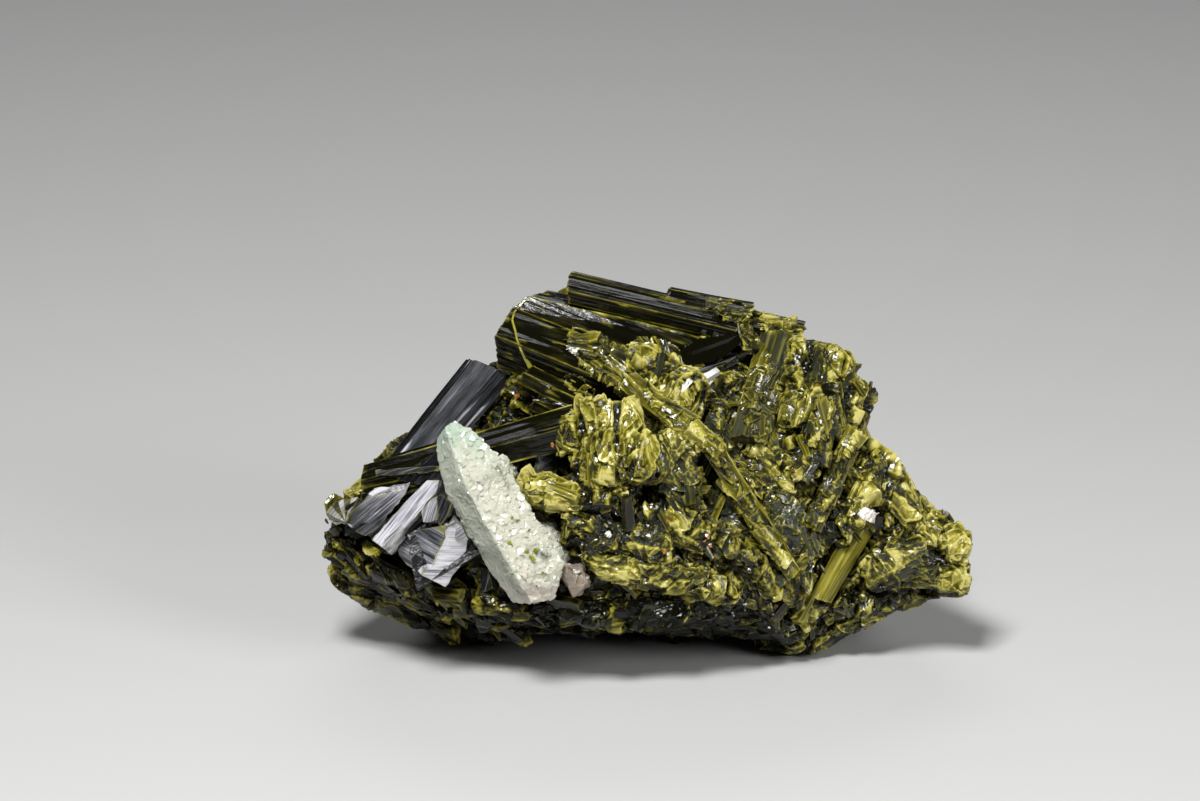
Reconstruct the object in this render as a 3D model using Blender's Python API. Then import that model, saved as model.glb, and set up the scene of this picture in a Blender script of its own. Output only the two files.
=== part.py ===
"""A hand specimen of green tourmaline with quartz, built as separate crystals grown on one mass.

Sizes are in millimetres and become metres in at() and world(). The specimen stands on z = 0, +Z up,
with its front towards -Y. Crystals are placed in the front view: across, up as seen from a viewpoint
tilted down by VIEW_TILT, and back, the true distance behind the line of the two front feet.
"""

import math
import random
from collections import namedtuple

import bmesh
import bpy
from mathutils import Matrix, Vector

MM = 0.001
GAP = 0.35
CORNER_REACH = 1.5
SEED = 11

LATHS = 150
LATH_WIDTH = (1.6, 3.2)
LATH_THICKNESS = (0.7, 1.1)
LATH_HALF_LENGTH = (2.2, 5.0)
LATH_LIFT = (-0.1, 0.45)
LATH_TAPER = (0.7, 1.0)
LATH_SINK = 0.3
LATH_ANGLES = (-52, -48, 60, 66)
LATH_SPREAD = 16
FLANK_X = -18
FLANK_ANGLE = -32
UNDERSIDE = -0.35
TIDY_SPREAD = 10
CRUMBS = 30
CRUMB_SIZE = (1.2, 2.2)
CRUMB_CORNERS = 9
FRONT_SHARE = 2.5
TABLE_CLEARANCE = 1.2

VIEW_TILT = math.radians(18)
VIEW_DISTANCE = 600
VIEW_CENTRE = (-5.9, 31.2)
FACING = Vector((0, -math.cos(VIEW_TILT), math.sin(VIEW_TILT)))

MIDDLE_X = 0.0
MIDDLE_Y = 4.5

Crystal = namedtuple(
    "Crystal",
    "foot head width thick roll sides taper slant foot_slant",
    defaults=(0, 6, 1.0, 0, 0),
)
Lump = namedtuple("Lump", "corners")


def world(x, y, z):
    """A point in the specimen's own frame, from millimetres."""
    return Vector((x - MIDDLE_X, y - MIDDLE_Y, z)) * MM


def at(across, up, back):
    """The point seen at (across, up) in the front view that lies `back` behind the front feet."""
    tilt_cos = math.cos(VIEW_TILT)
    tilt_sin = math.sin(VIEW_TILT)
    seen_across, seen_up = across, up
    for _ in range(3):
        z = (seen_up - back * tilt_sin) / tilt_cos
        depth = back * tilt_cos - z * tilt_sin
        spread = 1 + depth / VIEW_DISTANCE
        seen_across = VIEW_CENTRE[0] + (across - VIEW_CENTRE[0]) * spread
        seen_up = VIEW_CENTRE[1] + (up - VIEW_CENTRE[1]) * spread
    z = (seen_up - back * tilt_sin) / tilt_cos
    return world(seen_across, back, z)


def clear_scene():
    for obj in list(bpy.data.objects):
        bpy.data.objects.remove(obj)


def new_collection(name):
    collection = bpy.data.collections.new(name)
    bpy.context.scene.collection.children.link(collection)
    return collection


def material(name, colour, roughness):
    made = bpy.data.materials.new(name)
    made.use_nodes = True
    shader = made.node_tree.nodes["Principled BSDF"]
    shader.inputs["Base Color"].default_value = (*colour, 1)
    shader.inputs["Roughness"].default_value = roughness
    shader.inputs["Metallic"].default_value = 0
    return made


def trim(bm, point, normal):
    """Cuts away what lies beyond a plane and closes the cut with one flat face."""
    geometry = bm.verts[:] + bm.edges[:] + bm.faces[:]
    cut = bmesh.ops.bisect_plane(
        bm, geom=geometry, plane_co=point, plane_no=normal, clear_outer=True
    )
    rim = [e for e in cut["geom_cut"] if isinstance(e, bmesh.types.BMEdge)]
    if rim:
        bmesh.ops.edgeloop_fill(bm, edges=rim)


def unit_prism(bm, sides):
    """A prism of that many sides, one unit wide, thick and long, with flats facing the front."""
    bmesh.ops.create_cone(
        bm, cap_ends=True, segments=sides, radius1=1, radius2=1, depth=1
    )
    if sides == 4:
        turn = Matrix.Rotation(math.radians(45), 3, "Z")
    else:
        turn = Matrix.Rotation(math.radians(90), 3, "Z")
    bmesh.ops.rotate(bm, verts=bm.verts, matrix=turn)
    wide = max(v.co.x for v in bm.verts) - min(v.co.x for v in bm.verts)
    thick = max(v.co.y for v in bm.verts) - min(v.co.y for v in bm.verts)
    bmesh.ops.scale(bm, verts=bm.verts, vec=(1 / wide, 1 / thick, 1))


def crystal_bmesh(crystal, foot, head, grow=0.0):
    """One crystal between two points, in metres; grow swells every face of it outwards."""
    axis = (head - foot).normalized()
    out = (FACING - axis * FACING.dot(axis)).normalized()
    turn = Matrix.Rotation(math.radians(crystal.roll), 3, axis)
    out = turn @ out
    side = out.cross(axis)
    wide = (crystal.width + 2 * grow) * MM
    thick = (crystal.thick + 2 * grow) * MM
    slope = math.tan(math.radians(max(abs(crystal.slant), abs(crystal.foot_slant))))
    spare = 0.6 * wide * slope + 1.5 * grow * MM + 0.2 * MM
    length = (head - foot).length + 2 * spare

    bm = bmesh.new()
    unit_prism(bm, crystal.sides)
    for vert in bm.verts:
        along = vert.co.z + 0.5
        width_here = wide * (1 + (crystal.taper - 1) * along)
        thick_here = thick * (1 + (crystal.taper - 1) * along)
        vert.co = (
            foot
            + axis * (along * length - spare)
            + side * vert.co.x * width_here
            + out * vert.co.y * thick_here
        )
    for point, way, slant in (
        (head, axis, crystal.slant),
        (foot, -axis, crystal.foot_slant),
    ):
        angle = math.radians(slant)
        normal = way * math.cos(angle) + side * math.sin(angle)
        trim(bm, point + normal * grow * MM, normal)
    bmesh.ops.recalc_face_normals(bm, faces=bm.faces)
    return bm


def block_bmesh(points, grow=0.0):
    """The convex lump whose corners are these points, in metres."""
    bm = bmesh.new()
    for point in points:
        bm.verts.new(point)
    hull = bmesh.ops.convex_hull(bm, input=bm.verts)
    loose = [g for g in hull["geom_interior"] if isinstance(g, bmesh.types.BMVert)]
    bmesh.ops.delete(bm, geom=loose, context="VERTS")
    bmesh.ops.recalc_face_normals(bm, faces=bm.faces)
    bm.normal_update()
    for vert, normal in [(v, v.normal.copy()) for v in bm.verts]:
        vert.co += normal * grow * CORNER_REACH * MM
    return bm


def solid_bmesh(piece, grow=0.0):
    """A Crystal or a Lump of the front view, in metres."""
    if isinstance(piece, Lump):
        return block_bmesh([at(*corner) for corner in piece.corners], grow)
    return crystal_bmesh(piece, at(*piece.foot), at(*piece.head), grow)


def add_object(name, bm, collection):
    mesh = bpy.data.meshes.new(name)
    bm.to_mesh(mesh)
    bm.free()
    obj = bpy.data.objects.new(name, mesh)
    collection.objects.link(obj)
    return obj


def add_helper(name, bm, collection):
    obj = add_object(name, bm, collection)
    obj.hide_render = True
    obj.display_type = "WIRE"
    return obj


def largest_shell(mesh):
    """Drops the crumbs and the sealed hollows that joining and cutting leave."""
    bm = bmesh.new()
    bm.from_mesh(mesh)
    unseen = set(bm.verts)
    shells = []
    while unseen:
        start = unseen.pop()
        shell, edge_of_shell = {start}, [start]
        while edge_of_shell:
            vert = edge_of_shell.pop()
            for edge in vert.link_edges:
                other = edge.other_vert(vert)
                if other in unseen:
                    unseen.discard(other)
                    shell.add(other)
                    edge_of_shell.append(other)
        shells.append(shell)
    shells.sort(key=len, reverse=True)
    crumbs = [vert for shell in shells[1:] for vert in shell]
    bmesh.ops.delete(bm, geom=crumbs, context="VERTS")
    bm.to_mesh(mesh)
    bm.free()


def fuse(name, first, others, cutters, home, finish):
    """One node: a first solid joined with the others, less the cutters."""
    parts = new_collection(name + "_parts")
    tools = new_collection(name + "_cutters")
    base = add_object(name + "_base", first, parts)
    for number, bm in enumerate(others):
        add_helper(f"{name}_part_{number}", bm, parts)
    for number, bm in enumerate(cutters):
        add_helper(f"{name}_cutter_{number}", bm, tools)
    parts.objects.unlink(base)
    home.objects.link(base)
    for operation, collection in (("UNION", parts), ("DIFFERENCE", tools)):
        if collection.objects:
            modifier = base.modifiers.new(operation.title(), "BOOLEAN")
            modifier.operation = operation
            modifier.solver = "EXACT"
            modifier.operand_type = "COLLECTION"
            modifier.collection = collection
    graph = bpy.context.evaluated_depsgraph_get()
    mesh = bpy.data.meshes.new_from_object(base.evaluated_get(graph))
    largest_shell(mesh)
    bpy.data.objects.remove(base)
    node = bpy.data.objects.new(name, mesh)
    mesh.name = name
    home.objects.link(node)
    mesh.materials.clear()
    mesh.materials.append(finish)
    mesh.shade_flat()
    return node


def solids_bmesh(pieces, grow=0.0):
    return [solid_bmesh(piece, grow) for piece in pieces]


# Crystals and lumps of the front view: (across, up, back) of each end or corner, then sizes.
UPPER_PRISMS = [
    Lump(
        [
            (-19.1, 39.4, -1), (-18.8, 35.4, 0), (-16.8, 43.0, 4), (-16.0, 38.0, 9),
            (-17.0, 42.0, 8), (-2.0, 32.4, -5), (-3.6, 29.6, -3), (-1.0, 36.6, 0),
            (-2.0, 31.0, 4), (-1.0, 36.0, 5),
        ]
    ),
    Lump(
        [
            (-17.0, 42.6, 5), (-15.0, 44.3, 6), (-12.6, 45.0, 9), (-13.0, 42.0, 11),
            (5.4, 36.4, 2), (6.8, 39.0, 3), (6.6, 40.6, 6), (5.6, 38.0, 8), (-14.0, 40.0, 4),
        ]
    ),
    Crystal((-15.4, 34.4, -2), (-4.0, 28.8, -6), 3.2, 4.6, 12, 6, 0.8, 10, 20),
    Crystal((-13.8, 31.4, -4), (-6.4, 27.4, -8), 3.0, 4.0, 30, 6, 0.8, 20, 24),
]
RIDGE_PRISMS = [
    Crystal((-9.6, 45.4, 8), (11.5, 40.4, 6), 3.2, 6.5, 24, 6, 1.0, 6, -20),
    Crystal((2.2, 43.9, 9), (13.0, 41.9, 8), 2.8, 6.0, 20, 6, 1.0, -8, 16),
    Crystal((5.0, 42.0, 12), (19.2, 39.4, 11), 3.6, 7.0, 16, 6, 1.0, -10, 0),
]
LEFT_BLADE = [
    Crystal((-19.6, 35.2, 3), (-31.4, 21.2, -2), 6.6, 5.0, 18, 6, 0.72, 14, -18),
]
LEFT_PRISMS = [
    Crystal((-35.2, 21.2, -4), (-8.5, 28.0, -8), 3.9, 5.6, 16, 6, 1.5, 0, 10),
    Crystal((-35.6, 19.4, -7), (-20.0, 22.6, -9), 1.8, 4.0, 30, 6, 1.2, 0, 12),
]
LEFT_FAN = [
    Lump(
        [
            (-38.6, 17.4, -3), (-36.0, 19.4, -4), (-27.0, 22.0, -8), (-22.0, 18.6, -11),
            (-22.4, 11.6, -13), (-25.6, 8.6, -12), (-31.4, 12.4, -9),
            (-36.0, 15.4, 2), (-24.0, 20.0, -2), (-22.0, 13.0, -4), (-28.0, 11.0, -2),
        ]
    ),
    Crystal((-24.0, 23.0, -9), (-37.0, 15.9, -6), 4.2, 4.0, 22, 4, 0.75, -26, 0),
    Crystal((-23.6, 21.0, -10), (-33.0, 12.9, -10), 2.8, 4.0, 20, 4, 1.1, 8, 0),
    Crystal((-22.6, 15.4, -10.5), (-29.4, 11.2, -12), 8.0, 4.0, 6, 4, 0.85, -22, 0),
    Crystal((-25.8, 18.6, -11), (-23.4, 14.6, -12), 4.2, 4.4, 26, 5, 0.9, 16, 10),
]
DIAGONAL_PRISMS = [
    Crystal((-2.6, 33.6, -6), (9.4, 24.4, -12), 3.3, 4.0, 10, 6, 0.7, 18, 0),
    Crystal((7.6, 26.2, -9), (18.4, 9.4, -11), 2.6, 3.4, 24, 6, 0.8, 10, 0),
]
RIGHT_SLAB = [
    Crystal((17.0, 39.0, 6), (12.6, 26.0, -5), 6.0, 3.6, -14, 6, 0.8, 16, -10),
]
UPRIGHT_PRISM = [
    Crystal((26.0, 27.8, -3), (20.6, 15.0, -7), 3.0, 3.2, 16, 6, 0.75, 0, 12),
]
LOWER_PRISM = [
    Crystal((27.2, 16.8, -3), (21.4, 6.4, -5), 4.0, 3.8, 12, 6, 0.8, 10, 14),
]
QUARTZ = [
    Lump(
        [
            (-26.6, 26.4, -13), (-25.4, 27.9, -15), (-24.0, 28.8, -13), (-21.8, 27.6, -14),
            (-25.2, 19.6, -14), (-22.8, 20.8, -18), (-17.6, 23.4, -15), (-22.0, 22.0, -10),
            (-22.4, 14.0, -14), (-20.2, 15.4, -19), (-14.0, 17.0, -16), (-18.0, 14.0, -11),
        ]
    ),
    Lump(
        [
            (-22.9, 15.4, -14), (-20.6, 16.4, -19), (-14.4, 17.4, -16), (-18.0, 15.0, -11),
            (-19.6, 9.6, -15), (-16.4, 9.4, -20), (-10.4, 11.0, -17), (-13.6, 11.0, -12),
            (-17.0, 6.0, -16), (-14.4, 5.8, -19), (-11.8, 6.4, -17), (-11.4, 8.2, -15),
        ]
    ),
    Lump(
        [
            (-19.6, 24.4, -12), (-18.0, 24.6, -13), (-15.6, 20.6, -14), (-14.8, 18.0, -15),
            (-20.4, 18.0, -10), (-16.4, 16.0, -11), (-18.6, 24.0, -10), (-15.2, 18.4, -11),
        ]
    ),
]
SMOKY_GRAIN = [
    Crystal((-9.6, 10.6, -15), (-8.2, 7.4, -16), 3.4, 3.4, 20, 7, 0.8, 20, 24),
]
WHITE_GRAIN = [
    Crystal((26.6, 17.6, -4.2), (28.6, 16.2, -4.0), 2.2, 2.0, 20, 5, 0.8, 10, 20),
]

# From here to BACK_PRISMS: crystals that overlap the mass and are joined with it.
RIGHT_SHOULDER = [
    Crystal((23.2, 36.9, 2), (22.4, 27.0, -4), 4.6, 5.0, 20, 6, 0.9, 0, 24),
    Crystal((19.9, 37.4, 4), (18.4, 28.0, -3), 4.0, 4.0, 10, 6, 0.9, 0, -14),
    Crystal((26.2, 33.4, 0), (25.0, 24.0, -4), 3.6, 4.0, 30, 6, 0.9, 0, 24),
    Crystal((22.5, 31.0, -4), (19.5, 21.5, -7), 3.0, 3.0, 24, 6, 0.8, 0, 20),
    Crystal((17.0, 30.0, -5), (14.4, 20.0, -9), 3.4, 3.0, 12, 4, 0.8, 0, -16),
]
RIGHT_LOBE = [
    Crystal((29.0, 24.0, -1), (26.2, 15.4, -5), 3.8, 5.0, 24, 6, 0.9, 0, 20),
    Crystal((29.6, 22.4, 0), (34.8, 14.4, -3), 3.6, 5.0, 18, 6, 0.9, 0, 18),
    Crystal((34.0, 15.4, -2), (39.9, 12.2, -3), 5.0, 5.0, 30, 6, 0.95, 8, 0),
    Crystal((31.0, 11.6, -4), (39.7, 9.2, -3), 3.8, 5.0, 18, 6, 0.95, 0, 0),
    Crystal((27.6, 9.6, -5), (34.6, 13.4, -5), 4.0, 4.0, 24, 6, 0.8, 0, 10),
]
LOWER_RIGHT = [
    Crystal((21.6, 2.4, -1), (31.0, 7.6, -3), 3.4, 4.0, 20, 6, 0.9, 10, 10),
    Crystal((6.6, 8.6, -12), (18.8, 1.6, -3), 3.2, 4.0, 12, 6, 0.8, 14, 10),
    Crystal((0.0, 8.0, -12), (12.5, 3.8, -4), 3.2, 3.4, 30, 6, 0.8, 12, 0),
    Crystal((9.6, 13.8, -12), (17.6, 7.6, -8), 3.0, 3.0, 18, 6, 0.8, 12, 16),
    Crystal((17.6, 12.6, -8), (20.6, 3.0, -2), 3.4, 3.6, 12, 6, 0.9, 12, 16),
]
FRONT_LEDGE = [
    Crystal((-14.8, 20.4, -12), (-2.0, 18.6, -14), 3.6, 5.0, 18, 6, 0.8, 14, 0),
    Crystal((-8.0, 12.2, -14), (6.6, 8.8, -13), 4.6, 5.0, 14, 6, 0.8, 14, 0),
    Crystal((-10.0, 16.0, -13), (2.4, 12.8, -13.5), 5.0, 5.0, 10, 6, 0.8, 14, 0),
    Crystal((0.0, 17.0, -12), (9.0, 13.0, -12), 5.0, 4.0, 30, 5, 0.8, 14, 0),
]
BRIGHT_BLOCK = [
    Crystal((-6.0, 31.0, -9), (-4.6, 21.2, -13), 4.2, 4.6, 14, 6, 1.1, 6, 16),
    Crystal((-3.0, 29.6, -9), (-0.8, 21.6, -14), 4.0, 4.6, 24, 6, 1.1, -6, -16),
    Crystal((-7.6, 27.0, -9), (-6.4, 21.6, -12), 3.0, 4.0, 14, 6, 1.0, 0, 26),
]
THIN_FLAKE = [
    Crystal((2.6, 26.8, -10), (5.4, 15.8, -13), 4.4, 1.6, 14, 4, 0.6, 24, -20),
]
FLANK_FIBRES = [
    Crystal((-38.8, 13.4, -3), (-26.0, 5.6, -4), 3.0, 4.0, 12, 6, 0.9, 0, 24),
    Crystal((-37.6, 10.4, 0), (-24.4, 2.8, 1), 3.0, 4.0, 24, 6, 0.9, 0, 24),
    Crystal((-32.6, 7.4, 0), (-19.8, 2.6, 2), 2.8, 4.0, 10, 6, 0.9, 20, 20),
    Crystal((-31.0, 11.0, -7), (-18.6, 3.6, -4), 2.8, 4.0, 28, 6, 0.9, 0, 14),
    Crystal((-25.0, 8.4, -10), (-15.8, 2.6, -4), 3.0, 4.0, 14, 6, 0.9, 0, 14),
]
LEFT_TIP = [
    Crystal((-39.2, 17.2, -1), (-34.4, 18.6, -4), 3.4, 4.0, 20, 6, 1.1, 0, 24),
    Crystal((-39.0, 14.6, -1), (-34.0, 15.6, -4), 3.4, 4.0, 10, 6, 1.1, 0, -24),
]
UNDER_RIDGE = [
    Crystal((-16.0, 33.4, 2), (-5.0, 26.4, -4), 5.4, 6.0, 20, 6, 1.0, 0, 12),
    Crystal((-12.0, 38.4, 8), (1.0, 34.4, 2), 7.0, 8.0, 20, 6, 1.0, 0, 0),
    Crystal((2.0, 40.0, 6), (13.0, 38.6, 5), 4.4, 5.0, 14, 6, 1.0, 0, 0),
    Crystal((-2.0, 35.6, -1), (6.0, 31.6, -5), 4.0, 5.0, 30, 6, 0.9, 12, 0),
]
BACK_PRISMS = [
    Crystal((-18.6, 33.6, 12), (-4.0, 17.0, 23), 5.0, 6.0, 20, 6, 0.9, 10, 10),
    Crystal((-8.0, 42.0, 13), (-13.0, 24.0, 21), 6.0, 7.0, 14, 6, 0.9, 30, 10),
    Crystal((3.0, 41.4, 15), (-4.0, 26.0, 22), 5.0, 6.0, 26, 6, 0.9, 20, -6),
    Crystal((11.0, 39.6, 14), (7.0, 15.0, 26), 6.0, 6.0, 10, 6, 0.9, 14, -6),
    Crystal((16.5, 37.6, 13), (4.0, 24.0, 24), 4.0, 5.0, 12, 6, 0.9, 10, 10),
    Crystal((21.6, 34.4, 9), (12.0, 13.0, 23), 5.0, 6.0, 28, 6, 0.9, 20, 16),
    Crystal((21.0, 26.0, 12), (20.0, 13.0, 17), 6.0, 6.0, 16, 6, 0.9, 24, 16),
    Crystal((-29.0, 22.0, 7), (-15.0, 12.0, 20), 5.0, 6.0, 20, 6, 0.9, 20, 20),
    Crystal((28.0, 20.6, 5), (17.0, 9.4, 18), 5.0, 6.0, 14, 6, 0.9, 20, 20),
    Crystal((-24.0, 12.0, 9), (-10.0, 8.6, 19), 4.0, 5.0, 14, 6, 0.9, 20, 20),
]
MASS_CRYSTALS = (
    RIGHT_SHOULDER
    + RIGHT_LOBE
    + LOWER_RIGHT
    + FRONT_LEDGE
    + BRIGHT_BLOCK
    + THIN_FLAKE
    + FLANK_FIBRES
    + LEFT_TIP
    + UNDER_RIDGE
    + BACK_PRISMS
)
# The dark hollow under the ridge.
HOLLOW = Lump(
    [
        (5.2, 34.8, -9), (12.2, 36.6, -9), (12.4, 38.8, -9), (6.0, 37.8, -9),
        (5.6, 35.6, 5), (11.4, 37.0, 5), (11.6, 38.6, 5), (6.2, 38.0, 5),
    ]
)

# How far the small laths may reach, as (across, up) in the front view.
OUTLINE = [
    (-39.6, 16.8), (-39.0, 12.5), (-36.6, 9.6), (-32.6, 6.6), (-29.4, 3.6), (-27.0, 1.8),
    (-19.6, 1.8), (-10.9, 2.6), (5.4, 2.6), (12.0, 1.4), (21.0, 0.8), (25.2, 3.6),
    (29.0, 6.0), (32.2, 7.6), (39.0, 8.0), (40.0, 12.8), (37.6, 15.8), (33.2, 19.2),
    (30.2, 23.9), (28.2, 25.2), (26.6, 25.0), (27.5, 31.2), (25.7, 34.8), (24.4, 36.9),
    (20.2, 37.6), (18.6, 41.2), (11.2, 43.6), (2.6, 44.9), (-9.2, 46.2), (-14.4, 44.2),
    (-16.4, 42.9), (-18.9, 39.2), (-19.0, 35.4), (-22.3, 35.5), (-27.5, 29.8), (-31.3, 24.4),
    (-34.3, 23.3), (-35.6, 19.8), (-37.6, 19.0),
]
# Corners of the blocks inside the mass, as x, y, z with y measured like back.
CORE_BLOCKS = [
    [
        (-22, 6, 1.8), (17, 1, 1.8), (20, 16, 1.8), (-15, 19, 1.8),
        (-20, -11, 10), (-8, -14, 10), (5, -13, 10), (13, -9, 9), (23, -4, 8),
        (-24, -7, 22), (-5, -10, 22), (12, -9, 20), (24, -5, 20),
        (-17, 3, 33), (-8, 4, 38), (12, 5, 39), (19, 4, 36), (15, 14, 36), (-8, 15, 36),
        (-22, 20, 10), (-17, 19, 24), (10, 25, 12), (8, 22, 28), (23, 17, 10), (22, 13, 26),
    ],
    [
        (-38.5, -2, 15), (-38.5, -1, 17.5), (-37.5, 2, 12), (-34, 8, 20), (-30, -9, 14),
        (-36, 0, 9), (-31.5, 1, 6), (-28, 3, 3), (-20, 5, 1.8), (-16, 12, 3),
        (-20, -8, 10), (-25, 2, 30), (-18, 12, 31), (-28, 12, 10), (-18, -8, 22),
    ],
    [
        (23, -2, 3.4), (28, -3, 6.8), (33, -3, 8.4), (37.6, -2, 9), (38.6, -2, 12.4),
        (36.6, -1, 16), (32.6, 0, 19.4), (29, 0, 24), (24, -4, 24), (20, 2, 32),
        (18, 12, 30), (28, 10, 20), (34, 6, 13), (30, 9, 10), (20, 14, 6),
    ],
    [
        (13, 3, 37), (21.6, 4, 35.6), (25.4, 3, 31), (26, 2, 25), (17, -4, 27), (13, -7, 24),
        (15, 14, 36), (23, 13, 32), (26, 12, 24), (19, -7, 16), (25, -5, 18),
    ],
]
# The three flats that the specimen rests on, as x, y.
FEET = [
    [(-26, 4.2), (-22.5, 3), (-19, 4.4), (-18, 8), (-22, 10.5), (-25.4, 8.4)],
    [(14.6, -1.2), (18, -2.6), (21, -1.6), (22, 2), (19, 4.2), (15.4, 3)],
    [(-9, 17), (-2, 15.5), (7, 16.4), (11, 19.6), (6, 22.6), (-6, 22)],
]
FOOT_TOP = 4
FOOT_SPREAD = 1.6


def seen(point):
    """Where a point in the specimen's own frame shows in the front view, as (across, up)."""
    x = point.x / MM + MIDDLE_X
    y = point.y / MM + MIDDLE_Y
    z = point.z / MM
    depth = y * math.cos(VIEW_TILT) - z * math.sin(VIEW_TILT)
    up = y * math.sin(VIEW_TILT) + z * math.cos(VIEW_TILT)
    spread = 1 + depth / VIEW_DISTANCE
    across_seen = VIEW_CENTRE[0] + (x - VIEW_CENTRE[0]) / spread
    up_seen = VIEW_CENTRE[1] + (up - VIEW_CENTRE[1]) / spread
    return across_seen, up_seen


def within_outline(point):
    """Whether the front view shows this point inside OUTLINE."""
    across, up = seen(point)
    inside = False
    for (x0, y0), (x1, y1) in zip(OUTLINE, OUTLINE[1:] + OUTLINE[:1]):
        if (y0 > up) != (y1 > up) and across < x0 + (up - y0) * (x1 - x0) / (y1 - y0):
            inside = not inside
    return inside


def fits(bm):
    """Whether a small solid stays inside the outline and clear of the table."""
    clear = all(v.co.z > TABLE_CLEARANCE * MM for v in bm.verts)
    return clear and all(within_outline(v.co) for v in bm.verts)


def foot_block(outline):
    """A lump that stands flat on the table and widens as it goes up into the mass."""
    middle_x = sum(x for x, _ in outline) / len(outline)
    middle_y = sum(y for _, y in outline) / len(outline)
    points = [world(x, y, 0) for x, y in outline]
    for x, y in outline:
        wider_x = middle_x + FOOT_SPREAD * (x - middle_x)
        wider_y = middle_y + FOOT_SPREAD * (y - middle_y)
        points.append(world(wider_x, wider_y, FOOT_TOP))
    return block_bmesh(points)


def surface_of(blocks):
    """Triangles of the blocks that no other block covers, as (corners, normal, weight)."""
    found = []
    planes = []
    for bm in blocks:
        planes.append([(f.verts[0].co.copy(), f.normal.copy()) for f in bm.faces])
    for number, bm in enumerate(blocks):
        for face in bm.faces:
            share = FRONT_SHARE if face.normal.dot(FACING) > 0 else 1
            centre = face.calc_center_median()
            covered = any(
                all((centre - point).dot(normal) < 0 for point, normal in sides)
                for other, sides in enumerate(planes)
                if other != number
            )
            if not covered:
                corners = [v.co.copy() for v in face.verts[:3]]
                found.append((corners, face.normal.copy(), share * face.calc_area()))
    return found


def surface_point(faces, chance):
    """A random point of the surface, as (point, normal)."""
    corners, normal, _ = chance.choices(faces, [weight for _, _, weight in faces])[0]
    a, b = chance.random(), chance.random()
    if a + b > 1:
        a, b = 1 - a, 1 - b
    point = corners[0] + (corners[1] - corners[0]) * a + (corners[2] - corners[0]) * b
    return point, normal


def lath_angle(point, normal, chance):
    """How a small lath lies at a point, as an angle from +X in the front view."""
    if normal.z < UNDERSIDE:
        return math.radians(chance.gauss(0, TIDY_SPREAD))
    if point.x < FLANK_X * MM:
        return math.radians(chance.gauss(FLANK_ANGLE, TIDY_SPREAD))
    return math.radians(chance.choice(LATH_ANGLES) + chance.gauss(0, LATH_SPREAD))


def small_lath(point, normal, chance):
    """A small lath lying along the surface, one end lifted clear of it."""
    angle = lath_angle(point, normal, chance)
    along = Vector((math.cos(angle), 0, math.sin(angle)))
    along = (along - normal * along.dot(normal)).normalized()
    along = (along + normal * chance.uniform(*LATH_LIFT)).normalized()
    wide = chance.uniform(*LATH_WIDTH)
    lath = Crystal(
        foot=None,
        head=None,
        width=wide,
        thick=wide * chance.uniform(*LATH_THICKNESS),
        roll=chance.uniform(0, 60),
        sides=chance.choice((4, 6)),
        taper=chance.uniform(*LATH_TAPER),
        slant=chance.uniform(-30, 30),
    )
    half = along * chance.uniform(*LATH_HALF_LENGTH) * MM
    middle = point - normal * LATH_SINK * MM
    return crystal_bmesh(lath, middle - half, middle + half)


def small_crumb(point, _normal, chance):
    """A small angular lump."""
    size = chance.uniform(*CRUMB_SIZE) * MM
    corners = []
    for _ in range(CRUMB_CORNERS):
        way = Vector([chance.gauss(0, 1) for _ in range(3)]).normalized()
        corners.append(point + way * size)
    return block_bmesh(corners)


def scattered(make, blocks, count, chance):
    """Small solids fused to the mass, kept inside the outline and off the table."""
    faces = surface_of(blocks)
    found = []
    while len(found) < count:
        point, normal = surface_point(faces, chance)
        bm = make(point, normal, chance)
        if fits(bm):
            found.append(bm)
        else:
            bm.free()
    return found


def build():
    clear_scene()
    home = new_collection("green_tourmaline_with_quartz")
    dark = material("dark_green", (0.03, 0.045, 0.02), 0.25)
    olive = material("olive_green", (0.22, 0.24, 0.03), 0.4)
    silver = material("silvery_cleavage", (0.32, 0.32, 0.35), 0.3)
    milky = material("milky_quartz", (0.74, 0.78, 0.7), 0.35)
    smoky = material("smoky_quartz", (0.42, 0.36, 0.28), 0.3)

    pieces = [
        ("quartz_crystal", QUARTZ, milky),
        ("smoky_quartz_grain", SMOKY_GRAIN, smoky),
        ("white_quartz_grain", WHITE_GRAIN, milky),
        ("diagonal_prisms", DIAGONAL_PRISMS, olive),
        ("upper_prisms", UPPER_PRISMS, dark),
        ("ridge_prisms", RIDGE_PRISMS, dark),
        ("left_prisms", LEFT_PRISMS, dark),
        ("left_blade", LEFT_BLADE, silver),
        ("left_cleavage_fan", LEFT_FAN, silver),
        ("upright_prism", UPRIGHT_PRISM, olive),
        ("lower_prism", LOWER_PRISM, olive),
        ("right_slab", RIGHT_SLAB, olive),
    ]
    earlier = []
    for name, crystals, finish in pieces:
        solids = solids_bmesh(crystals)
        cutters = solids_bmesh(earlier, GAP)
        fuse(name, solids[0], solids[1:], cutters, home, finish)
        earlier += crystals

    chance = random.Random(SEED)
    blocks = [block_bmesh([world(*p) for p in points]) for points in CORE_BLOCKS]
    grown = solids_bmesh(MASS_CRYSTALS)
    grown += scattered(small_lath, blocks, LATHS, chance)
    grown += scattered(small_crumb, blocks, CRUMBS, chance)
    grown += [foot_block(outline) for outline in FEET]
    cutters = solids_bmesh(earlier, GAP) + [solid_bmesh(HOLLOW)]
    fuse("tourmaline_mass", blocks[0], blocks[1:] + grown, cutters, home, olive)


build()
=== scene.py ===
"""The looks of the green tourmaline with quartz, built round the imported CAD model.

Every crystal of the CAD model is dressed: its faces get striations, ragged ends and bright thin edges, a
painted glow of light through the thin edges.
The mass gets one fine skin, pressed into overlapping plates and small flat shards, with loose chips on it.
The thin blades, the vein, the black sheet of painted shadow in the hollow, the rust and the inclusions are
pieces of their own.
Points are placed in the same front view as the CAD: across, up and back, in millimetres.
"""

import math
import random
from collections import namedtuple

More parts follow.
